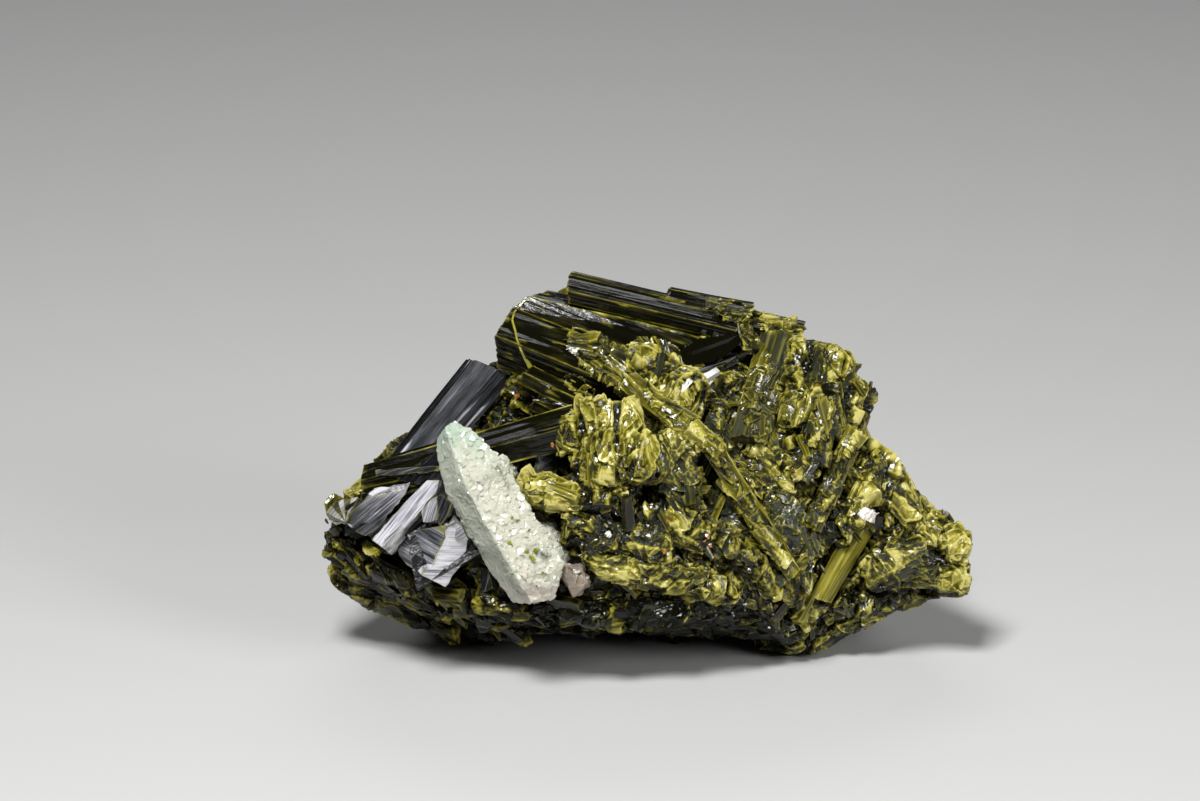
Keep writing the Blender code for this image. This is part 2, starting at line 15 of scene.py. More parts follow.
import bmesh
import bpy
import numpy as np
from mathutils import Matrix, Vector, noise
from mathutils.bvhtree import BVHTree
from mathutils.kdtree import KDTree


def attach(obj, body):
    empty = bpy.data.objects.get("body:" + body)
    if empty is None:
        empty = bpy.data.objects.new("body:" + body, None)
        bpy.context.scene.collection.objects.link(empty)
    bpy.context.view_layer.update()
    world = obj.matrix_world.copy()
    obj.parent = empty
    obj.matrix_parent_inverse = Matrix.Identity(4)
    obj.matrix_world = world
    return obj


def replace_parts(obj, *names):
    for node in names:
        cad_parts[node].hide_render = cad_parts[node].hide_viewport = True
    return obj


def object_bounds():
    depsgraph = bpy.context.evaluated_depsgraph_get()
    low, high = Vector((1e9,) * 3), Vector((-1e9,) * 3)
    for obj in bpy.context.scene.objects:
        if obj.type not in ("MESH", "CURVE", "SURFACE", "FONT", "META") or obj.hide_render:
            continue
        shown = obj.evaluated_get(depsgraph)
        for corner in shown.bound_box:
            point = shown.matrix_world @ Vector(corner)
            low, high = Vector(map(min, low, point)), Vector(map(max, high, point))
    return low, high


MM = 0.001
SEED = 7
WELD = 1e-6

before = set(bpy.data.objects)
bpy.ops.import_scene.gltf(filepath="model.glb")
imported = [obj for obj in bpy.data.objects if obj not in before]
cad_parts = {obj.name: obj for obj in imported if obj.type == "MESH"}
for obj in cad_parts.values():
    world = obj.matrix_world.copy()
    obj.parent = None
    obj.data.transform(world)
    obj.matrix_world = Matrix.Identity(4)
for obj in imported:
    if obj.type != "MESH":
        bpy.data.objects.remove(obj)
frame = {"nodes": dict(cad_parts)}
CAD_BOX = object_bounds()
NODES = frame["nodes"]

# Without a seed of its own, noise_vector starts from the clock and differs from run to run
noise.seed_set(SEED)


# Places in the front view, and the photograph's pixels in it

VIEW_TILT = math.radians(18)
TILT_COS, TILT_SIN = math.cos(VIEW_TILT), math.sin(VIEW_TILT)
VIEW_DISTANCE = 600
VIEW_CENTRE = (-5.9, 31.2)
VIEW_WIDTH = 150
VIEW_ROUNDS = 3
MIDDLE_Y = 4.5
VIEW_UP = Vector((0, TILT_SIN, TILT_COS))
FACING = -Vector((0, TILT_COS, -TILT_SIN))
VIEW_FOOT = Vector((VIEW_CENTRE[0], -MIDDLE_Y, 0)) * MM + VIEW_UP * VIEW_CENTRE[1] * MM
EYE = VIEW_FOOT + FACING * VIEW_DISTANCE * MM
PHOTO_ZERO = (647, 650)
PHOTO_SCALE = 8


def at(across, up, back):
    """The point seen at (across, up) in the front view that lies `back` behind the front feet."""
    seen_across, seen_up = across, up
    for _ in range(VIEW_ROUNDS):
        z = (seen_up - back * TILT_SIN) / TILT_COS
        spread = 1 + (back * TILT_COS - z * TILT_SIN) / VIEW_DISTANCE
        seen_across = VIEW_CENTRE[0] + (across - VIEW_CENTRE[0]) * spread
        seen_up = VIEW_CENTRE[1] + (up - VIEW_CENTRE[1]) * spread
    z = (seen_up - back * TILT_SIN) / TILT_COS
    return Vector((seen_across, back - MIDDLE_Y, z)) * MM


def seen(point):
    """Where a point shows in the front view, as (across, up)."""
    x, y, z = point.x / MM, point.y / MM + MIDDLE_Y, point.z / MM
    up = y * TILT_SIN + z * TILT_COS
    spread = 1 + (y * TILT_COS - z * TILT_SIN) / VIEW_DISTANCE
    across = VIEW_CENTRE[0] + (x - VIEW_CENTRE[0]) / spread
    return across, VIEW_CENTRE[1] + (up - VIEW_CENTRE[1]) / spread


def sight(across, up):
    """The direction from the eye to the place seen at (across, up)."""
    return (at(across, up, 0) - EYE).normalized()


def view_direction(degrees):
    """A direction in the plane of the front view, turned from across towards up."""
    angle = math.radians(degrees)
    return Vector((math.cos(angle), 0, 0)) + VIEW_UP * math.sin(angle)


def laid_on(direction, normal):
    """The part of a direction that lies in the plane with this normal."""
    return direction - normal * direction.dot(normal)


def px(*corners):
    """Corners given in pixels of the photograph, as (across, up) in millimetres."""
    return [((x - PHOTO_ZERO[0]) / PHOTO_SCALE, (PHOTO_ZERO[1] - y) / PHOTO_SCALE) for x, y in corners]


class Surface:
    """Some CAD solids as one surface that rays can meet."""

    def __init__(self, names):
        points, faces, self.names = [], [], []
        for name in names:
            mesh = NODES[name].data
            start = len(points)
            points += [vertex.co.copy() for vertex in mesh.vertices]
            faces += [[start + i for i in polygon.vertices] for polygon in mesh.polygons]
            self.names += [name] * len(mesh.polygons)
        self.tree = BVHTree.FromPolygons(points, faces)

    def seen_at(self, across, up):
        """(point, normal, node) first met along the line of sight at (across, up)."""
        point, normal, index, _ = self.tree.ray_cast(EYE, sight(across, up))
        return None if point is None else (point, normal, self.names[index])


SURFACE = Surface(NODES)


# Helpers for points and meshes


def tree_of(points):
    """A tree that finds the nearest of these points, by their numbers."""
    tree = KDTree(len(points))
    for i, point in enumerate(points):
        tree.insert(point, i)
    tree.balance()
    return tree


def corner_array(bm):
    return np.array([vertex.co for vertex in bm.verts])


def triangle_array(bm):
    return np.array([[vertex.index for vertex in face.verts] for face in bm.faces])


def mesh_from(obj, steps):
    """The mesh of an object after some modifiers, each given as (kind, values); the object goes."""
    for kind, values in steps:
        modifier = obj.modifiers.new(kind, kind)
        for key, value in values.items():
            setattr(modifier, key, value)
    graph = bpy.context.evaluated_depsgraph_get()
    mesh = bpy.data.meshes.new_from_object(obj.evaluated_get(graph))
    bpy.data.objects.remove(obj)
    return mesh


def copy_of(name):
    """A new object with a copy of a CAD node's mesh."""
    obj = bpy.data.objects.new("copy", NODES[name].data.copy())
    bpy.context.scene.collection.objects.link(obj)
    return obj


def even_voxels(size):
    return "REMESH", {"mode": "VOXEL", "voxel_size": size}


def noise_at(points, size):
    """A smooth noise from about -1 to 1 at each point, with waves of this size."""
    return np.array([noise.noise(Vector(point / size)) for point in points])


def warped(points, size, reach):
    """Points moved by a smooth noise, so that straight borders come out folded."""
    moved = np.array([noise.noise_vector(Vector(point / size)) for point in points])
    return points + moved * reach


class Heap:
    """Collects small solids and turns them into one piece of the scene.

    Each point carries rim (1 on a thin edge, 0 in mid face, for a painted glow of light through thin edges),
    tone (0 black green to 1 yellow; in places it also holds painted light and shade), grey (how slate grey
    and glassy; on the quartz, painted shade on its left face) and grain (its place along the crystal, in
    millimetres, last axis along).
    """

    def __init__(self):
        self.points, self.faces = [], []
        self.rim, self.tone, self.grey, self.grain = [], [], [], []
        self.count = 0

    def add(self, points, faces, rim, tone, grey, grain):
        number = len(points)
        self.points.append(points)
        self.faces.append(np.asarray(faces) + self.count)
        self.rim.append(rim)
        self.tone.append(np.full(number, tone) if np.isscalar(tone) else tone)
        self.grey.append(np.full(number, grey) if np.isscalar(grey) else grey)
        self.grain.append(grain)
        self.count += number

    def make(self, name, material, sharp=None):
        mesh = bpy.data.meshes.new(name)
        points = np.clip(np.concatenate(self.points), CAD_BOX[0], CAD_BOX[1])
        mesh.from_pydata(points.tolist(), [], np.concatenate(self.faces).tolist())
        for key in ("rim", "tone", "grey"):
            layer = mesh.attributes.new(key, "FLOAT", "POINT")
            layer.data.foreach_set("value", np.concatenate(getattr(self, key)))
        layer = mesh.attributes.new("grain", "FLOAT_VECTOR", "POINT")
        layer.data.foreach_set("vector", np.concatenate(self.grain).ravel())
        mesh.materials.append(material)
        if sharp:
            mesh.shade_smooth()
            mesh.set_sharp_from_angle(angle=sharp)
        else:
            mesh.shade_flat()
        obj = bpy.data.objects.new(name, mesh)
        bpy.context.scene.collection.objects.link(obj)
        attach(obj, "root")
        return obj


# Materials


def node_material(name, **values):
    """A new material, with its node tree and its shader; the values are the shader's inputs."""
    made = bpy.data.materials.new(name)
    made.use_nodes = True
    shader = made.node_tree.nodes["Principled BSDF"]
    for key, value in values.items():
        shader.inputs[key.replace("_", " ")].default_value = value
    return made, made.node_tree, shader


def link(tree, source, target):
    tree.links.new(source, target)


def read(tree, name, vector=False):
    made = tree.nodes.new("ShaderNodeAttribute")
    made.attribute_name = name
    return made.outputs["Vector" if vector else "Fac"]


def maths(tree, operation, *values, clamp=False):
    made = tree.nodes.new("ShaderNodeMath")
    made.operation = operation
    made.use_clamp = clamp
    for number, value in enumerate(values):
        if isinstance(value, bpy.types.NodeSocket):
            link(tree, value, made.inputs[number])
        else:
            made.inputs[number].default_value = value
    return made.outputs[0]


def ramp(tree, factor, stops):
    made = tree.nodes.new("ShaderNodeValToRGB")
    elements = made.color_ramp.elements
    elements[0].position, elements[0].color = stops[0][0], (*stops[0][1], 1)
    elements[1].position, elements[1].color = stops[-1][0], (*stops[-1][1], 1)
    for position, colour in stops[1:-1]:
        elements.new(position).color = (*colour, 1)
    link(tree, factor, made.inputs["Fac"])
    return made.outputs["Color"]


def blend(tree, factor, first, second):
    made = tree.nodes.new("ShaderNodeMix")
    made.data_type = "RGBA"
    for key, value in (("Factor_Float", factor), ("A_Color", first), ("B_Color", second)):
        socket = next(s for s in made.inputs if s.identifier == key)
        if isinstance(value, bpy.types.NodeSocket):
            link(tree, value, socket)
        else:
            socket.default_value = (*value, 1)
    return next(s for s in made.outputs if s.identifier == "Result_Color")


def clouds(tree, vector, rate, stretch=(1, 1, 1), detail=3.0):
    """Noise over a coordinate in millimetres; stretch divides the rate along each axis."""
    mapping = tree.nodes.new("ShaderNodeMapping")
    mapping.inputs["Scale"].default_value = [rate / s for s in stretch]
    link(tree, vector, mapping.inputs["Vector"])
    made = tree.nodes.new("ShaderNodeTexNoise")
    made.inputs["Scale"].default_value = 1.0
    made.inputs["Detail"].default_value = detail
    link(tree, mapping.outputs["Vector"], made.inputs["Vector"])
    return made.outputs["Fac"]


def bump(tree, shader, height, strength, distance):
    made = tree.nodes.new("ShaderNodeBump")
    made.inputs["Strength"].default_value = strength
    made.inputs["Distance"].default_value = distance
    link(tree, height, made.inputs["Height"])
    link(tree, made.outputs["Normal"], shader.inputs["Normal"])


GREEN_STOPS = (
    (0.0, (0.003, 0.003, 0.001)),
    (0.2, (0.020, 0.018, 0.003)),
    (0.45, (0.092, 0.083, 0.008)),
    (0.72, (0.250, 0.222, 0.030)),
    (1.0, (0.450, 0.405, 0.125)),
)
# The pale end of this ramp is a painted reflection of the lamps on flat cleavage faces
CLEAVAGE_SHEEN_STOPS = (
    (0.1, (0.006, 0.006, 0.007)),
    (0.35, (0.045, 0.048, 0.055)),
    (0.6, (0.24, 0.24, 0.27)),
    (0.9, (0.72, 0.71, 0.76)),
)
SLATE = (0.010, 0.012, 0.007)
PALE_SLATE = (0.110, 0.120, 0.088)
OLIVE_EDGE = (0.30, 0.29, 0.05)
QUARTZ_SHADE = (0.27, 0.33, 0.26)
CRYSTAL_IOR = 1.65
QUARTZ_IOR = 1.544


def green_crystal(name, rim_gain, rim_power, fibre_gain, patch_gain, relief, specular=0.26):
    """Dark green glassy crystal, yellow where it thins towards an edge: the yellow rim is a painted glow of
    light shining through the thin edges.
    """
    made, tree, shader = node_material(name, IOR=CRYSTAL_IOR, Specular_IOR_Level=specular)
    grain = read(tree, "grain", vector=True)
    fibre = clouds(tree, grain, rate=3.2, stretch=(1, 1, 10), detail=4)
    patch = clouds(tree, grain, rate=0.6, stretch=(1, 1, 3))
    fine = clouds(tree, grain, rate=2.4, stretch=(1, 1, 3))
    # rim adds a painted glow: light shining through thin edges, painted yellow
    rim = maths(tree, "POWER", read(tree, "rim"), rim_power)
    light = maths(tree, "ADD", maths(tree, "MULTIPLY", rim, rim_gain), read(tree, "tone"))
    for cloud, gain in ((fibre, fibre_gain), (patch, patch_gain)):
        swing = maths(tree, "MULTIPLY", maths(tree, "SUBTRACT", cloud, 0.5), gain)
        light = maths(tree, "ADD", light, swing)
    slate = blend(tree, maths(tree, "MULTIPLY", fibre, patch), SLATE, PALE_SLATE)
    share = maths(tree, "MULTIPLY", read(tree, "grey"), maths(tree, "SUBTRACT", 1.0, rim), clamp=True)
    colour = blend(tree, share, ramp(tree, light, GREEN_STOPS), slate)
    link(tree, colour, shader.inputs["Base Color"])
    link(tree, maths(tree, "MULTIPLY_ADD", patch, 0.24, 0.02), shader.inputs["Roughness"])
    bump(tree, shader, maths(tree, "ADD", fibre, fine), relief, distance=0.00016)
    return made


def silvery_cleavage(name, streaks=1.2, level=1.05, edge=0.7, clouding=0.8):
    """Grey cleavage with pale lilac streaks along the grain and a silky shine: the pale lilac is a painted
    reflection of the lamps, the streaks its own grain.
    """
    made, tree, shader = node_material(name, IOR=CRYSTAL_IOR, Metallic=0.3)
    grain = read(tree, "grain", vector=True)
    fine = clouds(tree, grain, rate=5.5, stretch=(1, 1, 22))
    broad = clouds(tree, grain, rate=0.7, stretch=(1, 1, 4))
    light = maths(tree, "MULTIPLY_ADD", fine, streaks, maths(tree, "MULTIPLY", broad, clouding))
    light = maths(tree, "ADD", light, maths(tree, "SUBTRACT", read(tree, "tone"), level))
    # Olive rim: a painted glow of light through the cleavage's thin edges
    rim = maths(tree, "MULTIPLY", maths(tree, "POWER", read(tree, "rim"), 6.0), edge)
    colour = blend(tree, rim, ramp(tree, light, CLEAVAGE_SHEEN_STOPS), OLIVE_EDGE)
    link(tree, colour, shader.inputs["Base Color"])
    link(tree, maths(tree, "MULTIPLY_ADD", broad, 0.25, 0.14), shader.inputs["Roughness"])
    bump(tree, shader, fine, strength=0.6, distance=0.00015)
    return made


def milky_quartz(name, top, body, foot, transmission):
    """Milky quartz: clear enough to glow, with its own colours at the top and the foot."""
    made, tree, shader = node_material(
        name,
        IOR=QUARTZ_IOR,
        Roughness=0.07,
        Transmission_Weight=transmission,
        Subsurface_Weight=0.35,
        Subsurface_Radius=(1, 1, 0.9),
        Subsurface_Scale=0.002,
    )
    grain = read(tree, "grain", vector=True)
    cloud = maths(tree, "SUBTRACT", clouds(tree, grain, rate=0.5, detail=4), 0.5)
    height = maths(tree, "MULTIPLY_ADD", cloud, 0.5, read(tree, "tone"))
    colour = ramp(tree, height, [(0.0, foot), (0.2, body), (0.7, body), (1.0, top)])
    # grey holds painted shade on the quartz's left face
    shade = maths(tree, "MULTIPLY", read(tree, "grey"), 0.4)
    link(tree, blend(tree, shade, colour, QUARTZ_SHADE), shader.inputs["Base Color"])
    bump(tree, shader, clouds(tree, grain, rate=3.0, detail=4), strength=0.14, distance=0.0002)
    return made


GREEN = green_crystal("yellow_green_crystal", 0.34, 1.2, 0.5, 0.3, 0.45)
DARK = green_crystal("dark_green_prism", 0.7, 1.2, 0.5, 0.6, 0.2, 0.2)
# A near black glass with almost no rim, for the sheet of painted shadow in the hollow
PAINTED_HOLLOW_SHADOW = green_crystal("painted_hollow_shadow_material", 0.05, 1.0, 0.1, 0.1, 0.1, 0.2)
# A copy of the green crystal with less rim glow and less shine, for faces in shade: painted shade
SHADED_GREEN = green_crystal("shaded_green_crystal", 0.22, 1.5, 0.5, 0.3, 0.45, 0.12)
SHEEN_CLEAVAGE = silvery_cleavage("silvery_cleavage")
# A darker copy of the cleavage for faces turned from the viewer, without the front faces' painted reflection
SLATE_SIDE = silvery_cleavage("dark_cleavage", streaks=0.5, level=1.2, edge=0.1)
BLADE = silvery_cleavage("grey_blade", streaks=0.5, level=0.55, edge=0.2, clouding=0.45)
MILKY = milky_quartz("milky_quartz", (0.36, 0.50, 0.40), (0.56, 0.56, 0.46), (0.64, 0.56, 0.48), 0.2)
SMOKY = milky_quartz("smoky_quartz", (0.30, 0.24, 0.18), (0.36, 0.30, 0.24), (0.40, 0.32, 0.24), 0.5)
WHITE = milky_quartz("white_quartz", (0.85, 0.78, 0.72), (0.85, 0.78, 0.72), (0.8, 0.7, 0.6), 0.1)


# Crystals that replace the CAD nodes

EDGE_ANGLE = math.radians(24)
EDGE_STEP = 0.25 * MM
EDGE_WIDTH = 0.24 * MM
END_FACING = 0.6
END_LEAST = 0.4 * MM
END_APART = 0.5 * MM
END_RAGGED = 0.5 * MM
END_LANE = 0.9 * MM
ACROSS_BANDS = 1.4
BAND_ALONG = 1.3 * MM
LANE_SIZE = (0.5 * MM, 0.5 * MM, 9 * MM)
VEIN_LEVEL = 0.48
VEIN_TONE = 0.45
SIDE_FACING = 0.55


def sharp_edges(mesh):
    """A tree of points along the edges where two faces meet at a real angle."""
    bm = bmesh.new()
    bm.from_mesh(mesh)
    bmesh.ops.remove_doubles(bm, verts=bm.verts, dist=WELD)
    found = []
    for edge in bm.edges:
        if len(edge.link_faces) == 2 and edge.calc_face_angle() < EDGE_ANGLE:
            continue
        start, end = edge.verts[0].co, edge.verts[1].co
        number = max(2, int((end - start).length / EDGE_STEP))
        found += [start.lerp(end, i / (number - 1)) for i in range(number)]
    bm.free()
    return tree_of(found)


def cut_across(bm, way, reach):
    """Cuts the mesh square to `way` and gives the vertices on the cut."""
    geometry = bm.verts[:] + bm.edges[:] + bm.faces[:]
    cut = bmesh.ops.bisect_plane(bm, geom=geometry, plane_co=way * reach, plane_no=way)
    return [item for item in cut["geom_cut"] if isinstance(item, bmesh.types.BMVert)]


def slice_bands(bm, way, spacing, depth, chance, shift):
    """Cuts bands square to `way` through the mesh and records how far each cut line lifts."""
    reaches = [vertex.co.dot(way) for vertex in bm.verts]
    reach, last = min(reaches), max(reaches)
    while True:
        reach += spacing * chance.uniform(0.4, 1.7)
        if reach > last:
            return
        cut = cut_across(bm, way, reach)
        lift = chance.gauss(0, depth)
        for vertex in cut:
            vertex[shift] += lift


def end_reaches(source, axis):
    """Where along the axis the crystals of a node end, from the sharp edges that cross it."""
    reaches = []
    for edge in source.edges:
        start, end = [source.vertices[i].co for i in edge.vertices]
        if (end - start).length > END_LEAST and abs((end - start).normalized().dot(axis)) < END_FACING:
            reaches += [start.dot(axis), end.dot(axis)]
    kept = []
    for reach in sorted(reaches):
        if not kept or reach - kept[-1] > END_APART:
            kept.append(reach)
    return kept


def dressed(name, material, foot, head, spacing, depth, tone, spread, grey=0.0, sides=None):
    """A copy of a CAD node with striations from foot to head, ragged ends and its edges marked for a painted
    glow of light through them.

    foot and head are in the front view; spacing and depth of the striations are in millimetres.
    """
    chance = random.Random(name)
    source = NODES[name].data
    edges = sharp_edges(source)
    axis = (at(*head) - at(*foot)).normalized()
    side = axis.cross(FACING).normalized()
    out = side.cross(axis)
    bm = bmesh.new()
    bm.from_mesh(source)
    bmesh.ops.remove_doubles(bm, verts=bm.verts, dist=WELD)
    shift = bm.verts.layers.float.new("shift")
    slice_bands(bm, side, spacing * MM, depth * MM, chance, shift)
    slice_bands(bm, out, spacing * MM * ACROSS_BANDS, depth * MM, chance, shift)
    slice_bands(bm, axis, BAND_ALONG, 0, chance, shift)
    for offset in (-EDGE_WIDTH, EDGE_WIDTH):
        for reach in end_reaches(source, axis):
            cut_across(bm, axis, reach + offset)
    bm.normal_update()
    bm.verts.index_update()
    points = corner_array(bm)
    normals = np.array([vertex.normal for vertex in bm.verts])
    shifts = np.array([vertex[shift] for vertex in bm.verts])
    at_end = np.zeros(len(points))
    for face in bm.faces:
        if abs(face.normal.dot(axis)) > END_FACING:
            for vertex in face.verts:
                at_end[vertex.index] = math.copysign(1, face.normal.dot(axis))
    bmesh.ops.triangulate(bm, faces=bm.faces)
    faces = triangle_array(bm)
    bm.free()
    way = np.array(axis)
    flat = normals - np.outer(normals @ way, way)
    length = np.linalg.norm(flat, axis=1)
    flat /= np.maximum(length, WELD)[:, None]
    lanes = np.stack([points @ np.array(side), points @ np.array(out), points @ way], axis=1)
    seed = Vector([chance.uniform(0, 50) for _ in range(3)])
    drop = np.zeros(len(points))
    for i in np.nonzero(at_end)[0]:
        lane = Vector((lanes[i, 0], lanes[i, 1], 0)) / END_LANE + seed
        drop[i] = abs(noise.noise(lane)) * END_RAGGED * at_end[i]
    rim = np.array([max(0.0, 1 - edges.find(Vector(point))[2] / EDGE_WIDTH) for point in points])
    points = points + flat * (shifts * (length > 0.3))[:, None] - np.outer(drop, way)
    veins = np.array([noise.noise(Vector(lane / LANE_SIZE) + seed) for lane in lanes])
    tones = tone + spread * veins + np.where(veins > VEIN_LEVEL, VEIN_TONE, 0.0)
    heap = Heap()
    heap.add(points, faces, rim, tones, grey, lanes / MM)
    obj = heap.make(name + "_dressed", material)
    # Faces turned from the viewer take the darker copy, without the painted reflection
    if sides:
        obj.data.materials.append(sides)
        for polygon in obj.data.polygons:
            polygon.material_index = int(polygon.normal.dot(FACING) < SIDE_FACING)
    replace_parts(obj, name)


dressed("upper_prisms", DARK, (-18, 39.6, 1), (0.5, 32, -1), 0.34, 0.05, 0.0, 0.12)
dressed("ridge_prisms", DARK, (-9.6, 45.4, 8), (11.5, 40.4, 6), 0.32, 0.05, -0.05, 0.14)
dressed("left_prisms", DARK, (-35.2, 21.2, -4), (-8.5, 28, -8), 0.32, 0.05, -0.06, 0.12)
dressed("left_blade", BLADE, (-19.6, 35.2, 3), (-31.4, 21.2, -2), 0.3, 0.04, 0.38, 0.16, sides=SLATE_SIDE)
dressed(
    "left_cleavage_fan", SHEEN_CLEAVAGE, (-23.6, 21, -10), (-33, 12.9, -10), 0.3, 0.04, 0.1, 0.2, sides=SLATE_SIDE
)
dressed("diagonal_prisms", GREEN, (-2.6, 33.6, -6), (18.4, 9.4, -11), 0.34, 0.08, 0.42, 0.3)
dressed("upright_prism", GREEN, (26, 27.8, -3), (20.6, 15, -7), 0.34, 0.06, 0.38, 0.3)
dressed("lower_prism", GREEN, (27.2, 16.8, -3), (21.4, 6.4, -5), 0.34, 0.06, 0.6, 0.34)
dressed("right_slab", GREEN, (17, 39, 6), (12.6, 26, -5), 0.34, 0.06, 0.2, 0.25, grey=0.6)


# Quartz: a skin of small tilted facets

FACET_TILT = 0.28
FACET_WAVE = 0.8 * MM
FACET_FOLD = 0.18 * MM
SWELL_SIZE = 3.2 * MM
CALM_SIDE = 0.5
QUARTZ_SHARP = math.radians(9)
Facets = namedtuple("Facets", "voxel cell depth foot top swell")

QUARTZ_LUMPS = (
    (
        (-18.6, 24.6, 0.6), (-17.4, 24.4, 0.8), (-16.0, 22.2, 0.8), (-15.8, 20.6, 0.6),
        (-17.6, 21.0, 1.6), (-18.6, 23.0, 1.2), (-17.4, 22.6, -1.5), (-16.0, 20.8, -1.5),
    ),
    (
        (-14.0, 17.4, 0.8), (-11.6, 16.0, 0.8), (-9.6, 11.6, 0.6), (-10.8, 9.6, 0.6),
        (-13.4, 12.6, 1.8), (-13.0, 16.0, 1.6), (-11.4, 14.4, -1.6), (-10.2, 11.4, -1.6),
    ),
    (
        (-15.6, 7.6, 0.4), (-12.2, 6.6, 0.4), (-14.2, 5.6, 0.2),
        (-12.0, 8.4, 1.0), (-15.0, 9.0, 1.0),
    ),
)
WHITE_GRAIN_LUMPS = (
    (
        (26.1, 17.0, 0.6), (27.0, 18.0, 0.8), (28.6, 17.4, 0.8), (29.0, 15.6, 0.6),
        (27.6, 16.0, 1.3), (26.8, 16.4, 1.1), (27.5, 17.0, -1.0), (28.5, 16.0, -1.0),
    ),
)


def lump(bm, corners):
    """A convex lump through given corners, each (across, up, towards the viewer) from the surface."""
    made = []
    for across, up, out in corners:
        met = SURFACE.seen_at(across, up)
        start = met[0] if met else at(across, up, 0)
        made.append(bm.verts.new(start + FACING * out * MM))
    bmesh.ops.convex_hull(bm, input=made)


def hammered(name, material, facets, lumps=()):
    """A quartz node in small tilted facets, in millimetres; tone goes from 0 at foot to 1 at top."""
    chance = random.Random(name)
    voxel, cell, depth, foot, top, swell = (value * MM for value in facets)
    obj = copy_of(name)
    bm = bmesh.new()
    bm.from_mesh(obj.data)
    for corners in lumps:
        lump(bm, corners)
    bm.to_mesh(obj.data)
    bm.free()
    mesh = mesh_from(obj, [even_voxels(voxel)])
    points = np.array([vertex.co for vertex in mesh.vertices])
    normals = np.array([vertex.normal for vertex in mesh.vertices])
    mesh.calc_loop_triangles()
    faces = np.array([triangle.vertices for triangle in mesh.loop_triangles])
    area = len(points) * voxel * voxel
    seeds = points[chance.sample(range(len(points)), int(area / cell**2))]
    tree = tree_of(seeds)
    tilts = np.array([[chance.gauss(0, 1) for _ in range(3)] for _ in seeds])
    lifts = np.array([chance.uniform(-1, 1) for _ in seeds])
    near = np.array([tree.find(point)[1] for point in warped(points, FACET_WAVE, FACET_FOLD)])
    tilt = tilts[near] - normals * (tilts[near] * normals).sum(1)[:, None]
    lift = ((points - seeds[near]) * tilt).sum(1) * FACET_TILT + lifts[near] * depth * 0.5
    broad = noise_at(points, SWELL_SIZE)
    calm = np.clip(1 + (normals[:, 0] + 0.25) / 0.2, CALM_SIDE, 1)
    points = points + normals * (lift * calm + broad * swell)[:, None]
    tone = np.clip((points @ np.array(VIEW_UP) - foot) / (top - foot), 0, 1)
    points[:, 2] = np.maximum(points[:, 2], 0)
    # side: the quartz's left face, which gets painted shade
    side = (1 - calm) / (1 - CALM_SIDE) * float(name == "quartz_crystal")
    heap = Heap()
    heap.add(points, faces, np.zeros(len(points)), tone, side, points / MM)
    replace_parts(heap.make(name + "_dressed", material, QUARTZ_SHARP), name)


hammered("quartz_crystal", MILKY, Facets(0.19, 0.75, 0.14, 4, 30, 0.42), QUARTZ_LUMPS)
hammered("smoky_quartz_grain", SMOKY, Facets(0.25, 0.9, 0.15, 6, 12, 0.2))
hammered("white_quartz_grain", WHITE, Facets(0.22, 0.8, 0.08, 15, 19, 0.05), WHITE_GRAIN_LUMPS)


# Zones of the front view: ellipses with their own colours, directions and sizes of crystals

Zone = namedtuple("Zone", "across up wide high tilt palette angles length lift")

BRIGHT, LEAFY, OLIVE_MIX, DIM = "bright", "leafy", "olive", "dim"
SHADOW, FLANK, GLASSY, HOLLOW_SHADE, GLOW = "shadow", "flank", "glassy", "black", "glow"
SLAB, REAR = "slab", "rear"

# What each palette draws from: the tone, its spread, and how grey
PALETTES = {
    BRIGHT: ((0.38, 0.05, 0.0), (0.26, 0.06, 0.0), (0.1, 0.06, 0.0)),
    GLOW: ((0.48, 0.05, 0.0), (0.36, 0.06, 0.0), (0.20, 0.06, 0.0)),
    LEAFY: ((0.28, 0.06, 0.0), (0.16, 0.08, 0.1), (0.08, 0.06, 0.5)),
    OLIVE_MIX: (
        (0.22, 0.06, 0.0),
        (0.10, 0.06, 0.1),
        (-0.02, 0.05, 0.6),
        (0.32, 0.06, 0.0),
        (0.0, 0.05, 0.9),
    ),
    # DIM is darker crystal and, under the mass, painted shade; FLANK and SHADOW are painted shade on the
    # lower flank and the low band, the flank partly its own dark olive
    DIM: ((-0.16, 0.04, 0.0), (-0.1, 0.05, 0.1), (0.06, 0.05, 0.0)),
    FLANK: ((-0.2, 0.04, 0.0), (-0.1, 0.04, 0.0), (0.06, 0.05, 0.0)),
    SHADOW: ((-0.42, 0.04, 0.0), (-0.3, 0.05, 0.0), (-0.06, 0.06, 0.0)),
    GLASSY: ((0.06, 0.05, 0.9), (0.02, 0.05, 0.6), (0.20, 0.08, 0.1)),
    # The hollow's tones are painted shadow
    HOLLOW_SHADE: ((-0.15, 0.03, 0.0), (-0.1, 0.03, 0.1)),
    REAR: ((0.16, 0.05, 0.0), (0.08, 0.05, 0.1), (0.0, 0.05, 0.5), (0.24, 0.05, 0.0)),
    SLAB: ((0.18, 0.06, 0.3), (0.10, 0.05, 0.7), (0.30, 0.06, 0.0)),
}
CROSSING = (-52, -48, 60, 66)
